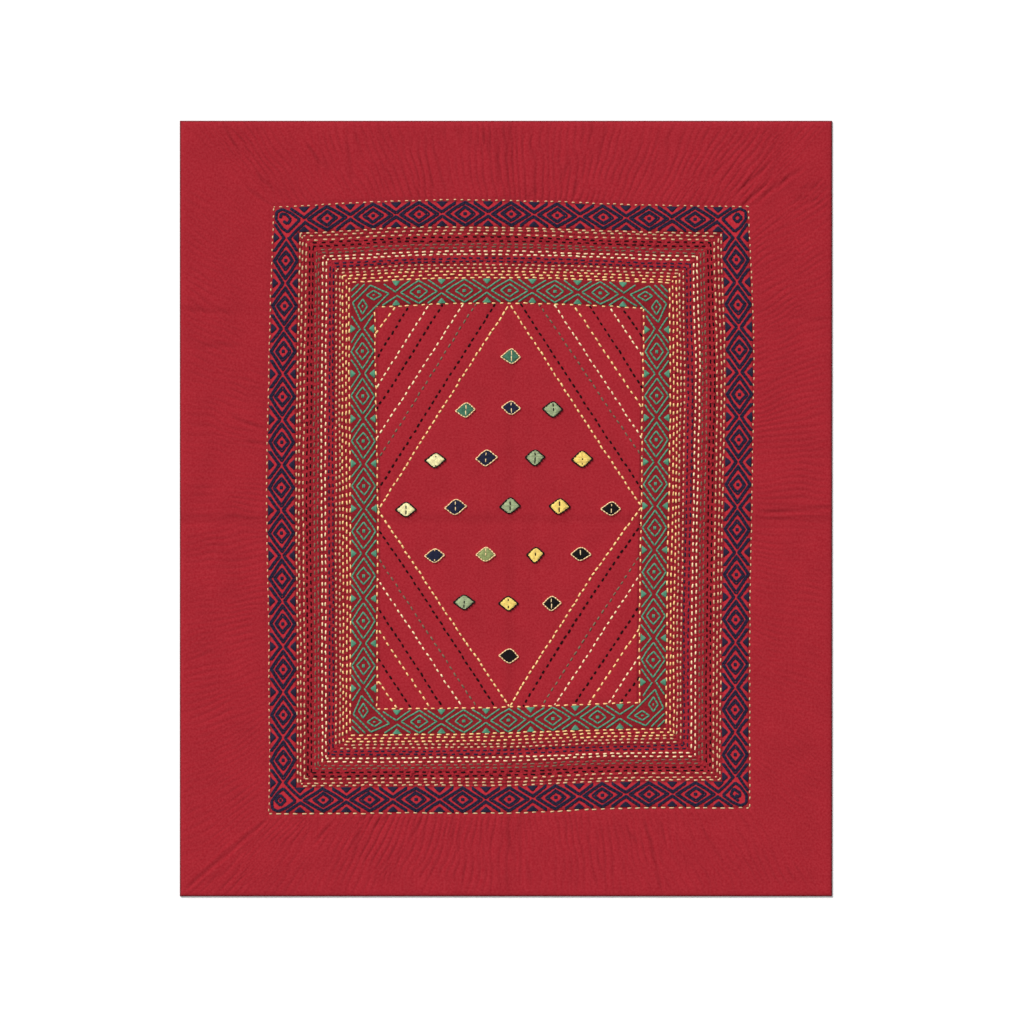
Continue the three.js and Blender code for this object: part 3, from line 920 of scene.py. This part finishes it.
def sew(name, pairs, width, height, shape=STITCH_SHAPE):
    """One joined mesh of stitches between pairs of places on the quilt, in mm. None comes out below it."""
    starts, stops = np.moveaxis(np.asarray(pairs, float), 1, 0)
    run = stops - starts
    lengths = np.hypot(*run.T)
    sideways = np.stack([-run[:, 1], run[:, 0]], -1) / lengths[:, None]
    along, lift, girth = [np.array([step[column] for step in shape]) for column in SHAPE_COLUMNS]
    half_width = girth * np.broadcast_to(width, lengths.shape)[:, None] / 2
    height = np.broadcast_to(height, lengths.shape)[:, None]
    half_height = girth * height / 2
    flat = starts[:, None, :] + run[:, None, :] * along[None, :, None]
    z = np.maximum(cloth_height(flat[..., 0], flat[..., 1]) + lift * height, half_height)
    centre = np.concatenate([flat, z[..., None]], -1)
    points = thread_points(centre, np.repeat(sideways[:, None], len(shape), 1), half_width, half_height)
    quads, caps = tube_faces(len(lengths), len(shape))
    piece = make_piece(name, points, quads, caps)
    twist_map(piece, len(shape), lengths)
    return piece


print("a stitch has", len(STITCH_SHAPE), "rings of", THREAD_CORNERS, "corners")

# %% [markdown]
# ## Rows of running stitch
# A hand-sewn row is nearly even, and the small misses are what make it look sewn: stitches differ in
# length, lean a little and drift off the line. A seeded random generator gives the same misses on every
# run.

# %% A row with a hand's small misses
THREAD_FLATNESS = 0.62
MISPLACED = 0.08
LENGTH_SPREAD = (0.84, 1.12)
WIDTH_SPREAD = (0.9, 1.1)
LEAST_END_SHARE = 0.35
END_ROOM = 2.5
END_SPARE = 0.5
DRIFT = 1.1
DRIFT_STITCHES = 11
LEAN = 0.36
hand = np.random.default_rng(7)
rows_by_thread = {}


def running_stitches(length, stitch, pitch, shift=0.0):
    """Starts and stops along a row of that length, counted from its middle, with a hand's unevenness."""
    gap = pitch - stitch
    reach_out = math.floor((length / 2 - stitch / 2) / pitch + 0.5)
    middle = (np.arange(-reach_out, reach_out + 1) + shift) * pitch
    middle = middle + hand.uniform(-MISPLACED, MISPLACED, len(middle)) * pitch
    middle = middle[np.abs(middle) < length / 2 - stitch * LEAST_END_SHARE] + length / 2
    half = stitch * hand.uniform(*LENGTH_SPREAD, len(middle)) / 2
    near, far = middle - half, middle + half
    if near[0] > gap + END_ROOM:
        far = np.concatenate([[near[0] - gap], far])
        near = np.concatenate([[max(END_SPARE, near[0] - gap - stitch)], near])
    if length - far[-1] > gap + END_ROOM:
        near = np.concatenate([near, [far[-1] + gap]])
        far = np.concatenate([far, [min(length - END_SPARE, far[-1] + gap + stitch)]])
    return near, far


def drift(count):
    """How far the two ends of each stitch lie off the line, in mm."""
    steps = hand.normal(0, 1, count + DRIFT_STITCHES - 1)
    slow = np.convolve(steps, np.ones(DRIFT_STITCHES) / DRIFT_STITCHES, "valid") * DRIFT
    return [slow + hand.normal(0, LEAN, count) for _ in ("near", "far")]


def keep_stitches(thread, near, far, width):
    """Adds a row's stitches to those of its thread, so that each thread becomes one mesh."""
    kept = rows_by_thread.setdefault(thread, {"pairs": [], "width": []})
    kept["pairs"].append(np.stack([near, far], 1))
    kept["width"].append(width * hand.uniform(*WIDTH_SPREAD, len(near)))


def stitches_kept():
    return sum(len(pairs) for kept in rows_by_thread.values() for pairs in kept["pairs"])


print("a stitch is", LENGTH_SPREAD[0], "to", LENGTH_SPREAD[1], "of its charted length")

# %% Rows round the frame
ROW_SHIFT = 0.2
row_shift = dict.fromkeys(SIDES, 0.0)
for charted in ROW_CHART:
    ring = charted["depth"] / FRAME_DEPTH
    for side in SIDES:
        row = {**charted, **OUTLINE_AT_BOTTOM} if (side, ring) == ("bottom", 0) else charted
        begin, end = row_ends(side, ring)
        row_shift[side] = (row_shift[side] + hand.normal(0, ROW_SHIFT) + 0.5) % 1 - 0.5
        pitch = row["across"] if side in ACROSS else row["along"]
        near, far = running_stitches(end - begin, row["stitch"], pitch, row_shift[side])
        off_near, off_far = drift(len(near))
        near = on_row(side, begin + near, ring + off_near / FRAME_DEPTH)
        far = on_row(side, begin + far, ring + off_far / FRAME_DEPTH)
        keep_stitches(row["thread"], near, far, row["width"])
print(stitches_kept(), "stitches round the frame")

# %% Rows of the field
for line in FIELD_LINES:
    places = line["places"]
    square = square_to(places[-1] - places[0])
    travelled = np.concatenate([[0], np.cumsum(np.hypot(*np.diff(places, axis=0).T))])
    ends = []
    for marks in running_stitches(travelled[-1], line["share"] * line["pitch"], line["pitch"]):
        ends.append(np.column_stack([np.interp(marks, travelled, places[:, axis]) for axis in (0, 1)]))
    offsets = drift(len(ends[0]))
    near, far = [end + square * off[:, None] for end, off in zip(ends, offsets)]
    keep_stitches(line["thread"], near, far, FIELD_WIDTH[line["thread"]])
print(stitches_kept(), "with the field's rows")

# %% Sew each thread's rows
row_pieces = {}
for thread, kept in rows_by_thread.items():
    pairs, width = [np.concatenate(kept[name]) for name in ("pairs", "width")]
    row_pieces[thread] = sew("rows_" + thread, pairs, width, width * THREAD_FLATNESS)
    print(len(pairs), thread, "stitches")

# %% [markdown]
# ## Lozenge bands
# Both bands repeat one lozenge: a dot, two rings, and between lozenges two chevrons that face each other
# over a bare cross, with a filled triangle behind each. One quarter is charted in mm and mirrored. The
# lines are rows of back stitch, laid double in navy and single in green.

# %% Chart of the lozenge
LOZENGE_HALF_PITCH = 31.5
LOZENGE_HALF_BAND = 16.5
# Each line is one quarter. The last column says how far a strand beside the line lies from it: a ring
# grows or shrinks by that, and a chevron moves away from the cross or towards it.
LOZENGE_LINES = chart(("kind", "line", "step"), (
    ("ring", ((12.2, 0.0), (6.1, 4.9), (0.0, 9.4)), (1.85, 1.25)),
    ("ring", ((25.0, 0.0), (12.6, 8.4), (0.0, 16.2)), (1.85, 1.2)),
    ("chevron", ((31.4, 3.0), (24.0, 8.3), (12.4, 16.5)), (0.0, 1.15)),
))
DOT_HALF_LENGTH = 2.6
DOT_STRANDS = (-0.9, 0.9)
TRIANGLE_STRANDS = chart(("rise", "half"), (
    (16.4, 7.2), (15.1, 6.0), (13.8, 4.7), (12.5, 3.3), (11.3, 1.8),
))
print("a lozenge has", len(LOZENGE_LINES), "lines in every quarter")

# %% Back stitch along a line
BACK_STITCH = 5.9
BACK_OVERLAP = 0.45
BACK_CUT_SPREAD = 0.4
BACK_DRIFT = 0.15
BACK_SHAPE = chart(SHAPE_COLUMNS, (
    (0.00, -0.25, 0.70), (0.16, 0.20, 0.95), (0.50, 0.34, 1.00), (0.84, 0.20, 0.95), (1.00, -0.25, 0.70),
))


def back_stitches(points, strand_offsets=(0.0,), stitch=BACK_STITCH):
    """Stitches along a line of straight legs, once for every strand that lies beside it."""
    pairs = []
    for start, stop in zip(points[:-1], points[1:]):
        length = np.hypot(*(stop - start))
        run = (stop - start) / length
        square = square_to(stop - start)
        count = max(1, round(length / stitch))
        cuts = np.linspace(0, length, count + 1)
        cuts[1:-1] += hand.uniform(-BACK_CUT_SPREAD, BACK_CUT_SPREAD, count - 1)
        for offset in strand_offsets:
            for near, far in zip(cuts[:-1], cuts[1:]):
                side = square * (offset + hand.uniform(-BACK_DRIFT, BACK_DRIFT))
                begin = start + run * (near - BACK_OVERLAP) + side
                end = start + run * (far + BACK_OVERLAP) + side
                pairs.append((begin, end))
    return pairs


print("a back stitch is about", BACK_STITCH, "mm long")

# %% One lozenge
LINE_WOBBLE = 0.5
TRIANGLE_SPREAD = (0.92, 1.08)


def strand_of(line, strand):
    """One strand of a charted line: 0 is the line itself, 1 lies outside it and -1 inside."""
    points = np.array(line["line"])
    step = strand * np.array(line["step"])
    return points * (1 + step / points.max(0)) if line["kind"] == "ring" else points + step


def lozenge(stretch, squeeze, strands):
    """All stitches of one lozenge, on its own axes."""
    size = np.array([stretch, squeeze])
    pairs = []
    for across in (-1, 1):
        for up in (-1, 1):
            for line in LOZENGE_LINES:
                wobble = hand.uniform(-LINE_WOBBLE, LINE_WOBBLE, (len(line["line"]), 2))
                for strand in strands:
                    pairs += back_stitches(strand_of(line, strand) * size * (across, up) + wobble)
    reach_out = DOT_HALF_LENGTH * stretch
    return pairs + [((-reach_out, offset), (reach_out, offset)) for offset in DOT_STRANDS]


def triangles_at_cross(stretch, squeeze):
    """The two filled triangles where neighbouring lozenges meet, measured from the cross."""
    pairs = []
    for up in (-1, 1):
        for strand in TRIANGLE_STRANDS:
            half = strand["half"] * stretch * hand.uniform(*TRIANGLE_SPREAD)
            rise = up * strand["rise"] * squeeze
            pairs.append(((-half, rise), (half, rise)))
    return pairs


print("a triangle has", len(TRIANGLE_STRANDS), "strands")


# %% Lay the lozenges along the bands
def lay_on_band(band, side, centre, pairs):
    """Turns stitches drawn on a lozenge's own axes into places on the quilt."""
    drawn = np.asarray(pairs, float)
    ring = (band["middle"] + drawn[..., 1]) / FRAME_DEPTH
    return on_row(side, centre + drawn[..., 0], ring)


def band_stitches(band, sides, strands):
    """All lozenges of a band on those sides, and the triangles between them."""
    laid = []
    squeeze = band["half"] / LOZENGE_HALF_BAND
    for side in sides:
        begin, end = row_ends(side, band["outer"] / FRAME_DEPTH)
        count = band["across"] if side in ACROSS else band["along"]
        crosses = np.linspace(begin + band["corner"], end - band["corner"], count + 1)
        stretch = (crosses[1] - crosses[0]) / 2 / LOZENGE_HALF_PITCH
        for cross in crosses:
            triangles = triangles_at_cross(stretch * band["triangle"], squeeze)
            laid.append(lay_on_band(band, side, cross, triangles))
        for middle in (crosses[:-1] + crosses[1:]) / 2:
            laid.append(lay_on_band(band, side, middle, lozenge(stretch, squeeze, strands)))
    return np.concatenate(laid)


for name, band in (("navy", NAVY_BAND), ("green", GREEN_BAND)):
    print(2 * (band["across"] + band["along"]), "lozenges in the", name, "band")

# %% [markdown]
# Each corner of a band has its own small figure, drawn here from the band's outer corner inwards along
# both sides. The navy corners hold a kite with a hook, a ring or a spiral in it, and the green ones a fan
# with two little rings.

# %% Chart of the corners
NAVY_KITE = (
    (12.4, 3.2), (24.6, 8.6), (36.6, 17.6), (19.8, 34.8), (12.6, 29.6), (4.0, 17.6), (4.6, 7.0), (12.4, 3.2),
)
NAVY_ARMS = (
    ((43.6, 15.4), (23.8, 2.2)),
    ((15.4, 43.6), (2.2, 23.8)),
    ((43.8, 21.6), (32.6, 31.6), (21.6, 43.8)),
)
NAVY_HOOK = (((9.6, 15.4), (11.2, 9.2), (18.2, 10.4), (24.0, 17.2), (19.6, 23.4), (14.0, 19.6)),)
NAVY_RING = (((21.8, 16.2), (15.9, 9.8), (9.8, 15.9), (16.2, 22.2), (21.8, 16.2)),)
NAVY_DOTTED_RING = (
    ((23.0, 18.6), (15.7, 11.4), (8.8, 18.6), (15.7, 25.8), (23.0, 18.6)),
    ((14.4, 18.6), (17.2, 18.6)),
)
NAVY_SPIRAL = (((15.0, 9.6), (26.0, 18.3), (22.2, 26.6), (13.0, 20.6), (14.0, 15.0), (19.4, 17.6)),)
NAVY_CORNERS = {
    ("top", "left"): NAVY_HOOK,
    ("top", "right"): NAVY_RING,
    ("bottom", "left"): NAVY_DOTTED_RING,
    ("bottom", "right"): NAVY_SPIRAL,
}
GREEN_HALF_FAN = (
    ((5.9, 5.9), (10.8, 1.2)),
    ((10.5, 10.5), (19.4, 1.6)),
    ((15.4, 15.4), (27.4, 3.0), (52.8, 14.4), (33.5, 33.5)),
    ((22.2, 16.8), (32.0, 10.4), (42.6, 16.8), (32.0, 23.4), (22.2, 16.8)),
    ((30.6, 16.8), (33.4, 16.8)),
    ((62.6, 12.6), (46.0, 1.6)),
    ((62.6, 18.6), (44.0, 30.8)),
)
print(len(NAVY_CORNERS), "corners in each band")

# %% Figures in the corners
CORNER_STITCH = 5.2
NAVY_CORNER_OFFSETS = (-0.75, 0.75)
GREEN_CORNER_OFFSETS = (0.0,)


def corner_of(end_side, flank, depth):
    """The place where two sides' rows of that depth meet, and the way inwards from it."""
    ring = np.float64(depth / FRAME_DEPTH)
    x = row_ends(end_side, ring)[0 if flank == "left" else 1]
    y = row_ends(flank, ring)[0 if end_side == "bottom" else 1]
    return np.array([x, y]), np.array([-OUTWARD[flank], -OUTWARD[end_side]])


def corner_figure(corner, band, lines, offsets):
    """The stitches of a corner's lines."""
    place, inwards = corner_of(*corner, band["outer"])
    pairs = []
    for line in lines:
        pairs += back_stitches(place + np.asarray(line) * inwards, offsets, CORNER_STITCH)
    return np.array(pairs)


def navy_corner(corner):
    lines = [NAVY_KITE, *NAVY_CORNERS[corner], *NAVY_ARMS]
    return corner_figure(corner, NAVY_BAND, lines, NAVY_CORNER_OFFSETS)


def green_corner(corner):
    """The half fan and its mirror image."""
    lines = []
    for line in GREEN_HALF_FAN:
        lines += [np.array(line), np.array(line)[:, ::-1]]
    return corner_figure(corner, GREEN_BAND, lines, GREEN_CORNER_OFFSETS)


print("the navy band's corner at the top left:", corner_of("top", "left", NAVY_BAND["outer"])[0].round(1))

# %% Sew the bands
NAVY_STRANDS = (-1, 1)
GREEN_STRANDS = (0,)
BAND_THREAD = {"navy": {"width": 2.65, "height": 1.25}, "green": {"width": 2.4, "height": 1.3}}
navy_across = band_stitches(NAVY_BAND, ("bottom", "top"), NAVY_STRANDS)
navy_along = band_stitches(NAVY_BAND, ("right", "left"), NAVY_STRANDS)
navy_corners = [navy_corner(corner) for corner in NAVY_CORNERS]
green_sides = band_stitches(GREEN_BAND, SIDES, GREEN_STRANDS)
green_corners = [green_corner(corner) for corner in NAVY_CORNERS]
band_pairs = {
    "navy_band_across": np.concatenate([navy_across, *navy_corners]),
    "navy_band_along": navy_along,
    "green_band": np.concatenate([green_sides, *green_corners]),
}
band_pieces = {}
for name, pairs in band_pairs.items():
    thread = BAND_THREAD[name.split("_")[0]]
    band_pieces[name] = sew(name, pairs, thread["width"], thread["height"], BACK_SHAPE)

# %% [markdown]
# ## Filling the eyes
# The filling is long satin stitch laid straight across the eye and held down by the tie at its middle, so
# it bulges on both sides. The outline covers the strands' ends.

# %% Stitches of one eye
SATIN_STRANDS = 12
SATIN_MARGIN = 1.7
SATIN_UNEVEN = 0.12
SATIN_SHORT = 0.8
SATIN_LEAN = 0.25
SHORTEST_STRAND = 1
LINE_UNEVEN = 0.2
TIE_LEAN = 0.5


def satin(eye):
    """Strands from the eye's left edge to its right edge, one above the other."""
    loop = eye_loop(eye)
    top = QUARTER_LEGS
    bottom = 3 * QUARTER_LEGS
    left_edge = np.concatenate([loop[bottom:], loop[1:top + 1]])
    right_edge = loop[top:bottom + 1][::-1]
    low = left_edge[0, 1] + SATIN_MARGIN
    high = left_edge[-1, 1] - SATIN_MARGIN
    heights = np.linspace(low, high, SATIN_STRANDS) + hand.uniform(-SATIN_UNEVEN, SATIN_UNEVEN, SATIN_STRANDS)
    pairs = []
    for height in heights:
        near = np.interp(height, left_edge[:, 1], left_edge[:, 0]) + hand.uniform(0.0, SATIN_SHORT)
        far = np.interp(height, right_edge[:, 1], right_edge[:, 0]) - hand.uniform(0.0, SATIN_SHORT)
        if far - near > SHORTEST_STRAND:
            pairs.append(((near, height), (far, height + hand.uniform(-SATIN_LEAN, SATIN_LEAN))))
    return pairs


def eye_outline(eye):
    """Back stitch round the filling."""
    loop = eye_loop(eye)
    loop[1:-1] += hand.normal(0, LINE_UNEVEN, (len(loop) - 2, 2))
    return list(zip(loop[:-1], loop[1:]))


def eye_tie(eye):
    """The tie down the middle, in one or two stitches that lean a little, or none."""
    middle = eye["x"] + (eye["top"][0] + eye["bottom"][0]) / 2
    pairs = []
    for high, low in eye["tie"]:
        lean = hand.uniform(-TIE_LEAN, TIE_LEAN, 2)
        pairs.append(((middle + lean[0], eye["y"] + high), (middle + lean[1], eye["y"] + low)))
    return pairs


print("up to", SATIN_STRANDS, "strands fill an eye")

# %% Sew the eyes
SATIN_SHAPE = chart(SHAPE_COLUMNS, (
    (0.00, -0.60, 0.70), (0.08, 0.35, 0.95), (0.26, 0.95, 1.00), (0.42, 0.70, 1.00), (0.50, 0.40, 0.96),
    (0.58, 0.70, 1.00), (0.74, 0.95, 1.00), (0.92, 0.35, 0.95), (1.00, -0.60, 0.70),
))
LINE_LIFT = 0.4
TIE_LIFT = 0.75
SATIN_WIDTH = 1.95
SATIN_HEIGHT = 1.15
LINE_WIDTH = {"gold": 1.6, "black": 2.0}
LINE_HEIGHT = 1.5
TIE_WIDTH = {"gold": 1.4, "black": 1.9}
TIE_HEIGHT = 1.1


def lifted(rise):
    """The shape of a running stitch, that much higher over the cloth."""
    return [{**step, "lift": step["lift"] + rise} for step in STITCH_SHAPE]


def eye_stitches(draw, column, thread):
    """All stitches that one way of drawing gives for the eyes with that thread."""
    return np.array([pair for eye in EYE_CHART if eye[column] == thread for pair in draw(eye)])


eye_pieces = {}
for fill in sorted({eye["fill"] for eye in EYE_CHART}):
    filling = eye_stitches(satin, "fill", fill)
    eye_pieces[fill] = sew("eye_fill_" + fill, filling, SATIN_WIDTH, SATIN_HEIGHT, SATIN_SHAPE)
for line in sorted({eye["line"] for eye in EYE_CHART}):
    outlines = eye_stitches(eye_outline, "line", line)
    ties = eye_stitches(eye_tie, "line", line)
    shape = lifted(LINE_LIFT)
    eye_pieces["line_" + line] = sew("eye_line_" + line, outlines, LINE_WIDTH[line], LINE_HEIGHT, shape)
    shape = lifted(TIE_LIFT)
    eye_pieces["tie_" + line] = sew("eye_tie_" + line, ties, TIE_WIDTH[line], TIE_HEIGHT, shape)

# %% [markdown]
# ## Finishes
# The red cotton is a plain weave: its colour shifts a little over the cloth, and its warp and weft show
# only close up. A Wave texture each way, added, gives the weave's bump. Between close rows every stitch
# puckers the cloth: that is finer than the mesh can be, so a Noise texture gives it as bump, where the
# mesh says that rows are close. The threads are loosely twisted strands, so their bump runs slantwise on
# the UV map that was made with them, and their colour drifts along each row as hand-dyed thread does.

# %% Parts of a finish
SPECULAR = 0.08
SHEEN_ROUGHNESS = 0.6
DRIFT_FROM = 0.3
DRIFT_TO = 0.7


def set_values(node, values):
    for name, value in values.items():
        node.inputs[name].default_value = value


def add_node(tree, kind, values=None, feeds=None):
    """A node of that kind with those values, fed by those other nodes' outputs."""
    node = tree.nodes.new("ShaderNode" + kind)
    set_values(node, values or {})
    for name, output in (feeds or {}).items():
        tree.links.new(output, node.inputs[name])
    return node


def new_material(name, colour, roughness, sheen):
    material = bpy.data.materials.new(name)
    material.use_nodes = True
    shader = material.node_tree.nodes["Principled BSDF"]
    set_values(shader, {"Base Color": (*colour, 1), "Roughness": roughness, "Specular IOR Level": SPECULAR})
    set_values(shader, {"Sheen Weight": sheen, "Sheen Roughness": SHEEN_ROUGHNESS})
    return material, material.node_tree, shader


def noise(tree, vector, scale, detail):
    values = {"Scale": scale, "Detail": detail}
    return add_node(tree, "TexNoise", values, {"Vector": vector}).outputs["Fac"]


def wave(tree, vector, direction, scale, distortion):
    values = {"Scale": scale, "Distortion": distortion, "Detail": 1}
    texture = add_node(tree, "TexWave", values, {"Vector": vector})
    texture.bands_direction = direction
    return texture.outputs["Fac"]


def bump(tree, height, strength, distance):
    return add_node(tree, "Bump", {"Strength": strength, "Distance": distance}, {"Height": height})


def colour_drift(tree, amount, low, high):
    """Drifts between two colours by that amount."""
    ramp = add_node(tree, "ValToRGB", feeds={"Fac": amount})
    first, last = ramp.color_ramp.elements
    first.position = DRIFT_FROM
    last.position = DRIFT_TO
    first.color = low
    last.color = high
    return ramp.outputs["Color"]


def multiply(tree, first, second):
    mixer = add_node(tree, "Mix", {"Factor": 1})
    mixer.data_type = "RGBA"
    mixer.blend_type = "MULTIPLY"
    tree.links.new(first, mixer.inputs[6])
    tree.links.new(second, mixer.inputs[7])
    return mixer.outputs[2]


print("cotton is matt: its specular level is", SPECULAR)

# %% Red cotton
CLOTH_COLOUR = (0.362, 0.0186, 0.0289)
CLOTH_DEEP = (0.326, 0.0112, 0.0206, 1)
CLOTH_PALE = (0.400, 0.0262, 0.0372, 1)
CLOTH_ROUGHNESS = 0.92
GRAIN = {"scale": 360, "detail": 4}
CLOUDS = {"scale": 28, "detail": 3}
CLOUD_DARK = (0.885, 0.885, 0.885, 1)
CLOUD_LIGHT = (0.955, 0.955, 0.955, 1)
PUCKERS = {"scale": 190, "detail": 1}
PUCKER_DEPTH = 0.0030
WEAVE = {"X": 400, "Y": 420}
WEAVE_UNEVEN = 1.2
WEAVE_STRENGTH = 0.25
WEAVE_DEPTH = 0.0003


def red_cotton():
    material, tree, shader = new_material("red_cotton", CLOTH_COLOUR, CLOTH_ROUGHNESS, 0.0)
    place = add_node(tree, "TexCoord").outputs["Object"]
    grain = colour_drift(tree, noise(tree, place, **GRAIN), CLOTH_DEEP, CLOTH_PALE)
    clouds = colour_drift(tree, noise(tree, place, **CLOUDS), CLOUD_DARK, CLOUD_LIGHT)
    # The mesh's shade colour is painted shade and painted light, and it scales the cloth's colour here.
    painted_shade_mix = add_node(tree, "VertexColor")
    painted_shade_mix.layer_name = "shade"
    colour = multiply(tree, multiply(tree, clouds, grain), painted_shade_mix.outputs["Color"])
    tree.links.new(colour, shader.inputs["Base Color"])
    close_rows = add_node(tree, "Attribute")
    close_rows.attribute_name = "pucker"
    puckers = bump(tree, noise(tree, place, **PUCKERS), 1.0, PUCKER_DEPTH)
    tree.links.new(close_rows.outputs["Fac"], puckers.inputs["Strength"])
    warp, weft = [wave(tree, place, direction, scale, WEAVE_UNEVEN) for direction, scale in WEAVE.items()]
    warp_and_weft = add_node(tree, "Math", feeds={0: warp, 1: weft})
    warp_and_weft.operation = "ADD"
    weave = bump(tree, warp_and_weft.outputs[0], WEAVE_STRENGTH, WEAVE_DEPTH)
    tree.links.new(puckers.outputs["Normal"], weave.inputs["Normal"])
    tree.links.new(weave.outputs["Normal"], shader.inputs["Normal"])
    return material


cloth.data.materials.append(red_cotton())
print("the cloth's finish is", cloth.data.materials[0].name)

# %% Cotton threads
THREAD_COLOURS = {
    "navy": (0.018, 0.0145, 0.038),
    "green": (0.085, 0.270, 0.170),
    "sage": (0.64, 0.425, 0.235),
    "grey_green": (0.17, 0.125, 0.080),
    "cream": (1.0, 0.70, 0.42),
    "gold": (1.0, 0.60, 0.255),
    "maroon": (0.013, 0.0011, 0.0022),
    "black": (0.008, 0.0062, 0.007),
    "pale_gold": (1.0, 0.66, 0.35),
    "yellow": (0.95, 0.655, 0.175),
    "eye_sage": (0.35, 0.42, 0.235),
    "eye_green": (0.062, 0.175, 0.110),
    "eye_navy": (0.016, 0.018, 0.044),
    "eye_leaf": (0.28, 0.33, 0.125),
    "eye_cream": (0.92, 0.79, 0.43),
}
THREAD_ROUGHNESS = 0.8
THREAD_SHEEN = 0.02
DYE = {"scale": 240, "detail": 4}
DYE_DARK = 0.76
DYE_LIGHT = 1.20
TWIST_SLANT = (1.0, 1.2, 1.0)
TWIST_SCALE = 0.8
TWIST_UNEVEN = 0.6
TWIST_STRENGTH = 0.5
TWIST_DEPTH = 0.0003


def dyed(colour, factor):
    return (*[min(1.0, channel * factor) for channel in colour], 1)


def thread_material(name):
    colour = THREAD_COLOURS[name]
    finish_name = name + "_cotton_thread"
    material, tree, shader = new_material(finish_name, colour, THREAD_ROUGHNESS, THREAD_SHEEN)
    place = add_node(tree, "TexCoord").outputs["Object"]
    dye = colour_drift(tree, noise(tree, place, **DYE), dyed(colour, DYE_DARK), dyed(colour, DYE_LIGHT))
    tree.links.new(dye, shader.inputs["Base Color"])
    along = add_node(tree, "UVMap")
    along.uv_map = "twist"
    slant = add_node(tree, "Mapping", {"Scale": TWIST_SLANT}, {"Vector": along.outputs["UV"]})
    strands = wave(tree, slant.outputs["Vector"], "DIAGONAL", TWIST_SCALE, TWIST_UNEVEN)
    twist = bump(tree, strands, TWIST_STRENGTH, TWIST_DEPTH)
    tree.links.new(twist.outputs["Normal"], shader.inputs["Normal"])
    return material


thread_materials = {name: thread_material(name) for name in THREAD_COLOURS}
print(len(thread_materials), "thread finishes")


# %% Give every piece its thread
def finish_piece(piece, thread):
    piece.data.materials.append(thread_materials[thread])


for thread, piece in row_pieces.items():
    finish_piece(piece, thread)
for name, piece in band_pieces.items():
    colour = name.split("_")[0]
    finish_piece(piece, colour)
EYE_FINISH = {
    "sage": ("eye_sage", "sage"),
    "leaf": ("eye_leaf", "sage"),
    "cream": ("eye_cream", "cream"),
    "green": ("eye_green", "green"),
    "navy": ("eye_navy", "navy"),
    "line_gold": ("pale_gold", "gold"),
    "tie_gold": ("pale_gold", "gold"),
}
for name, piece in eye_pieces.items():
    colour = name.split("_")[-1]
    material_name, slot = EYE_FINISH.get(name, (colour, colour))
    finish_piece(piece, material_name)

# %% [markdown]
# ## The sheet's size
# The cloth is a laid sheet of the quilt's full size, and all the needlework lies on it.

print("a laid sheet of", WIDTH * MM, "by", LENGTH * MM, "m")

# %% [markdown]
# ## Stage, light and camera
# The quilt lies on a plain pale floor under soft light. A broad lamp at the upper left lets the ripples
# and stitches throw faint shade, and an even sky fills the rest. The camera hangs straight above on a
# long lens, so the quilt stays square in the picture.

# %% Floor
FLOOR_HALF = 5.0
FLOOR_HEIGHT = -0.0004
FLOOR_COLOUR = (0.93, 0.93, 0.93)
FLOOR_ROUGHNESS = 0.9
floor_mesh = bpy.data.meshes.new("floor")
floor_corners = [
    (across * FLOOR_HALF, along * FLOOR_HALF, FLOOR_HEIGHT)
    for across, along in ((-1, -1), (1, -1), (1, 1), (-1, 1))
]
floor_mesh.from_pydata(floor_corners, [], [(0, 1, 2, 3)])
floor = add_object("floor", floor_mesh)
floor_mesh.materials.append(new_material("pale_floor", FLOOR_COLOUR, FLOOR_ROUGHNESS, 0.0)[0])
print("a floor of", 2 * FLOOR_HALF, "m lies just under the quilt")

# %% Soft light
SKY_STRENGTH = 0.5
SUN_STRENGTH = 3.9
SUN_SOFTNESS = math.radians(20)
SUN_TILT = math.radians(57)
SUN_FROM = math.radians(125)
world = bpy.data.worlds.new("studio")
bpy.context.scene.world = world
world.use_nodes = True
sky = world.node_tree.nodes["Background"]
sky.inputs["Color"].default_value = (1, 1, 1, 1)
sky.inputs["Strength"].default_value = SKY_STRENGTH
sun_data = bpy.data.lights.new("softbox", "SUN")
sun_data.energy = SUN_STRENGTH
sun_data.angle = SUN_SOFTNESS
sun = add_object("softbox", sun_data)
sun.rotation_euler = (0, SUN_TILT, SUN_FROM)
print("sky of", SKY_STRENGTH, "and lamp of", SUN_STRENGTH)

# %% Camera straight above
VIEW_WIDTH = 1.4136
CAMERA_HEIGHT = 4.0
SENSOR = 36.0
VIEW_CENTRE = (0.0083, -0.0048)
camera_data = bpy.data.cameras.new("camera")
camera_data.sensor_width = SENSOR
camera_data.lens = SENSOR * CAMERA_HEIGHT / VIEW_WIDTH
camera = add_object("camera", camera_data)
camera.location = (*VIEW_CENTRE, CAMERA_HEIGHT)
bpy.context.scene.camera = camera
bpy.context.scene.view_settings.view_transform = "Standard"
print("a lens of", round(camera_data.lens), "mm")

# %% [markdown]
# ## Bring the scene up to date
# The dressed quilt has to stay the size of the imported part: the cloth takes its width and length from
# it. At the end the view layer is brought up to date.

# %% Bring the view layer up to date
bpy.context.view_layer.update()
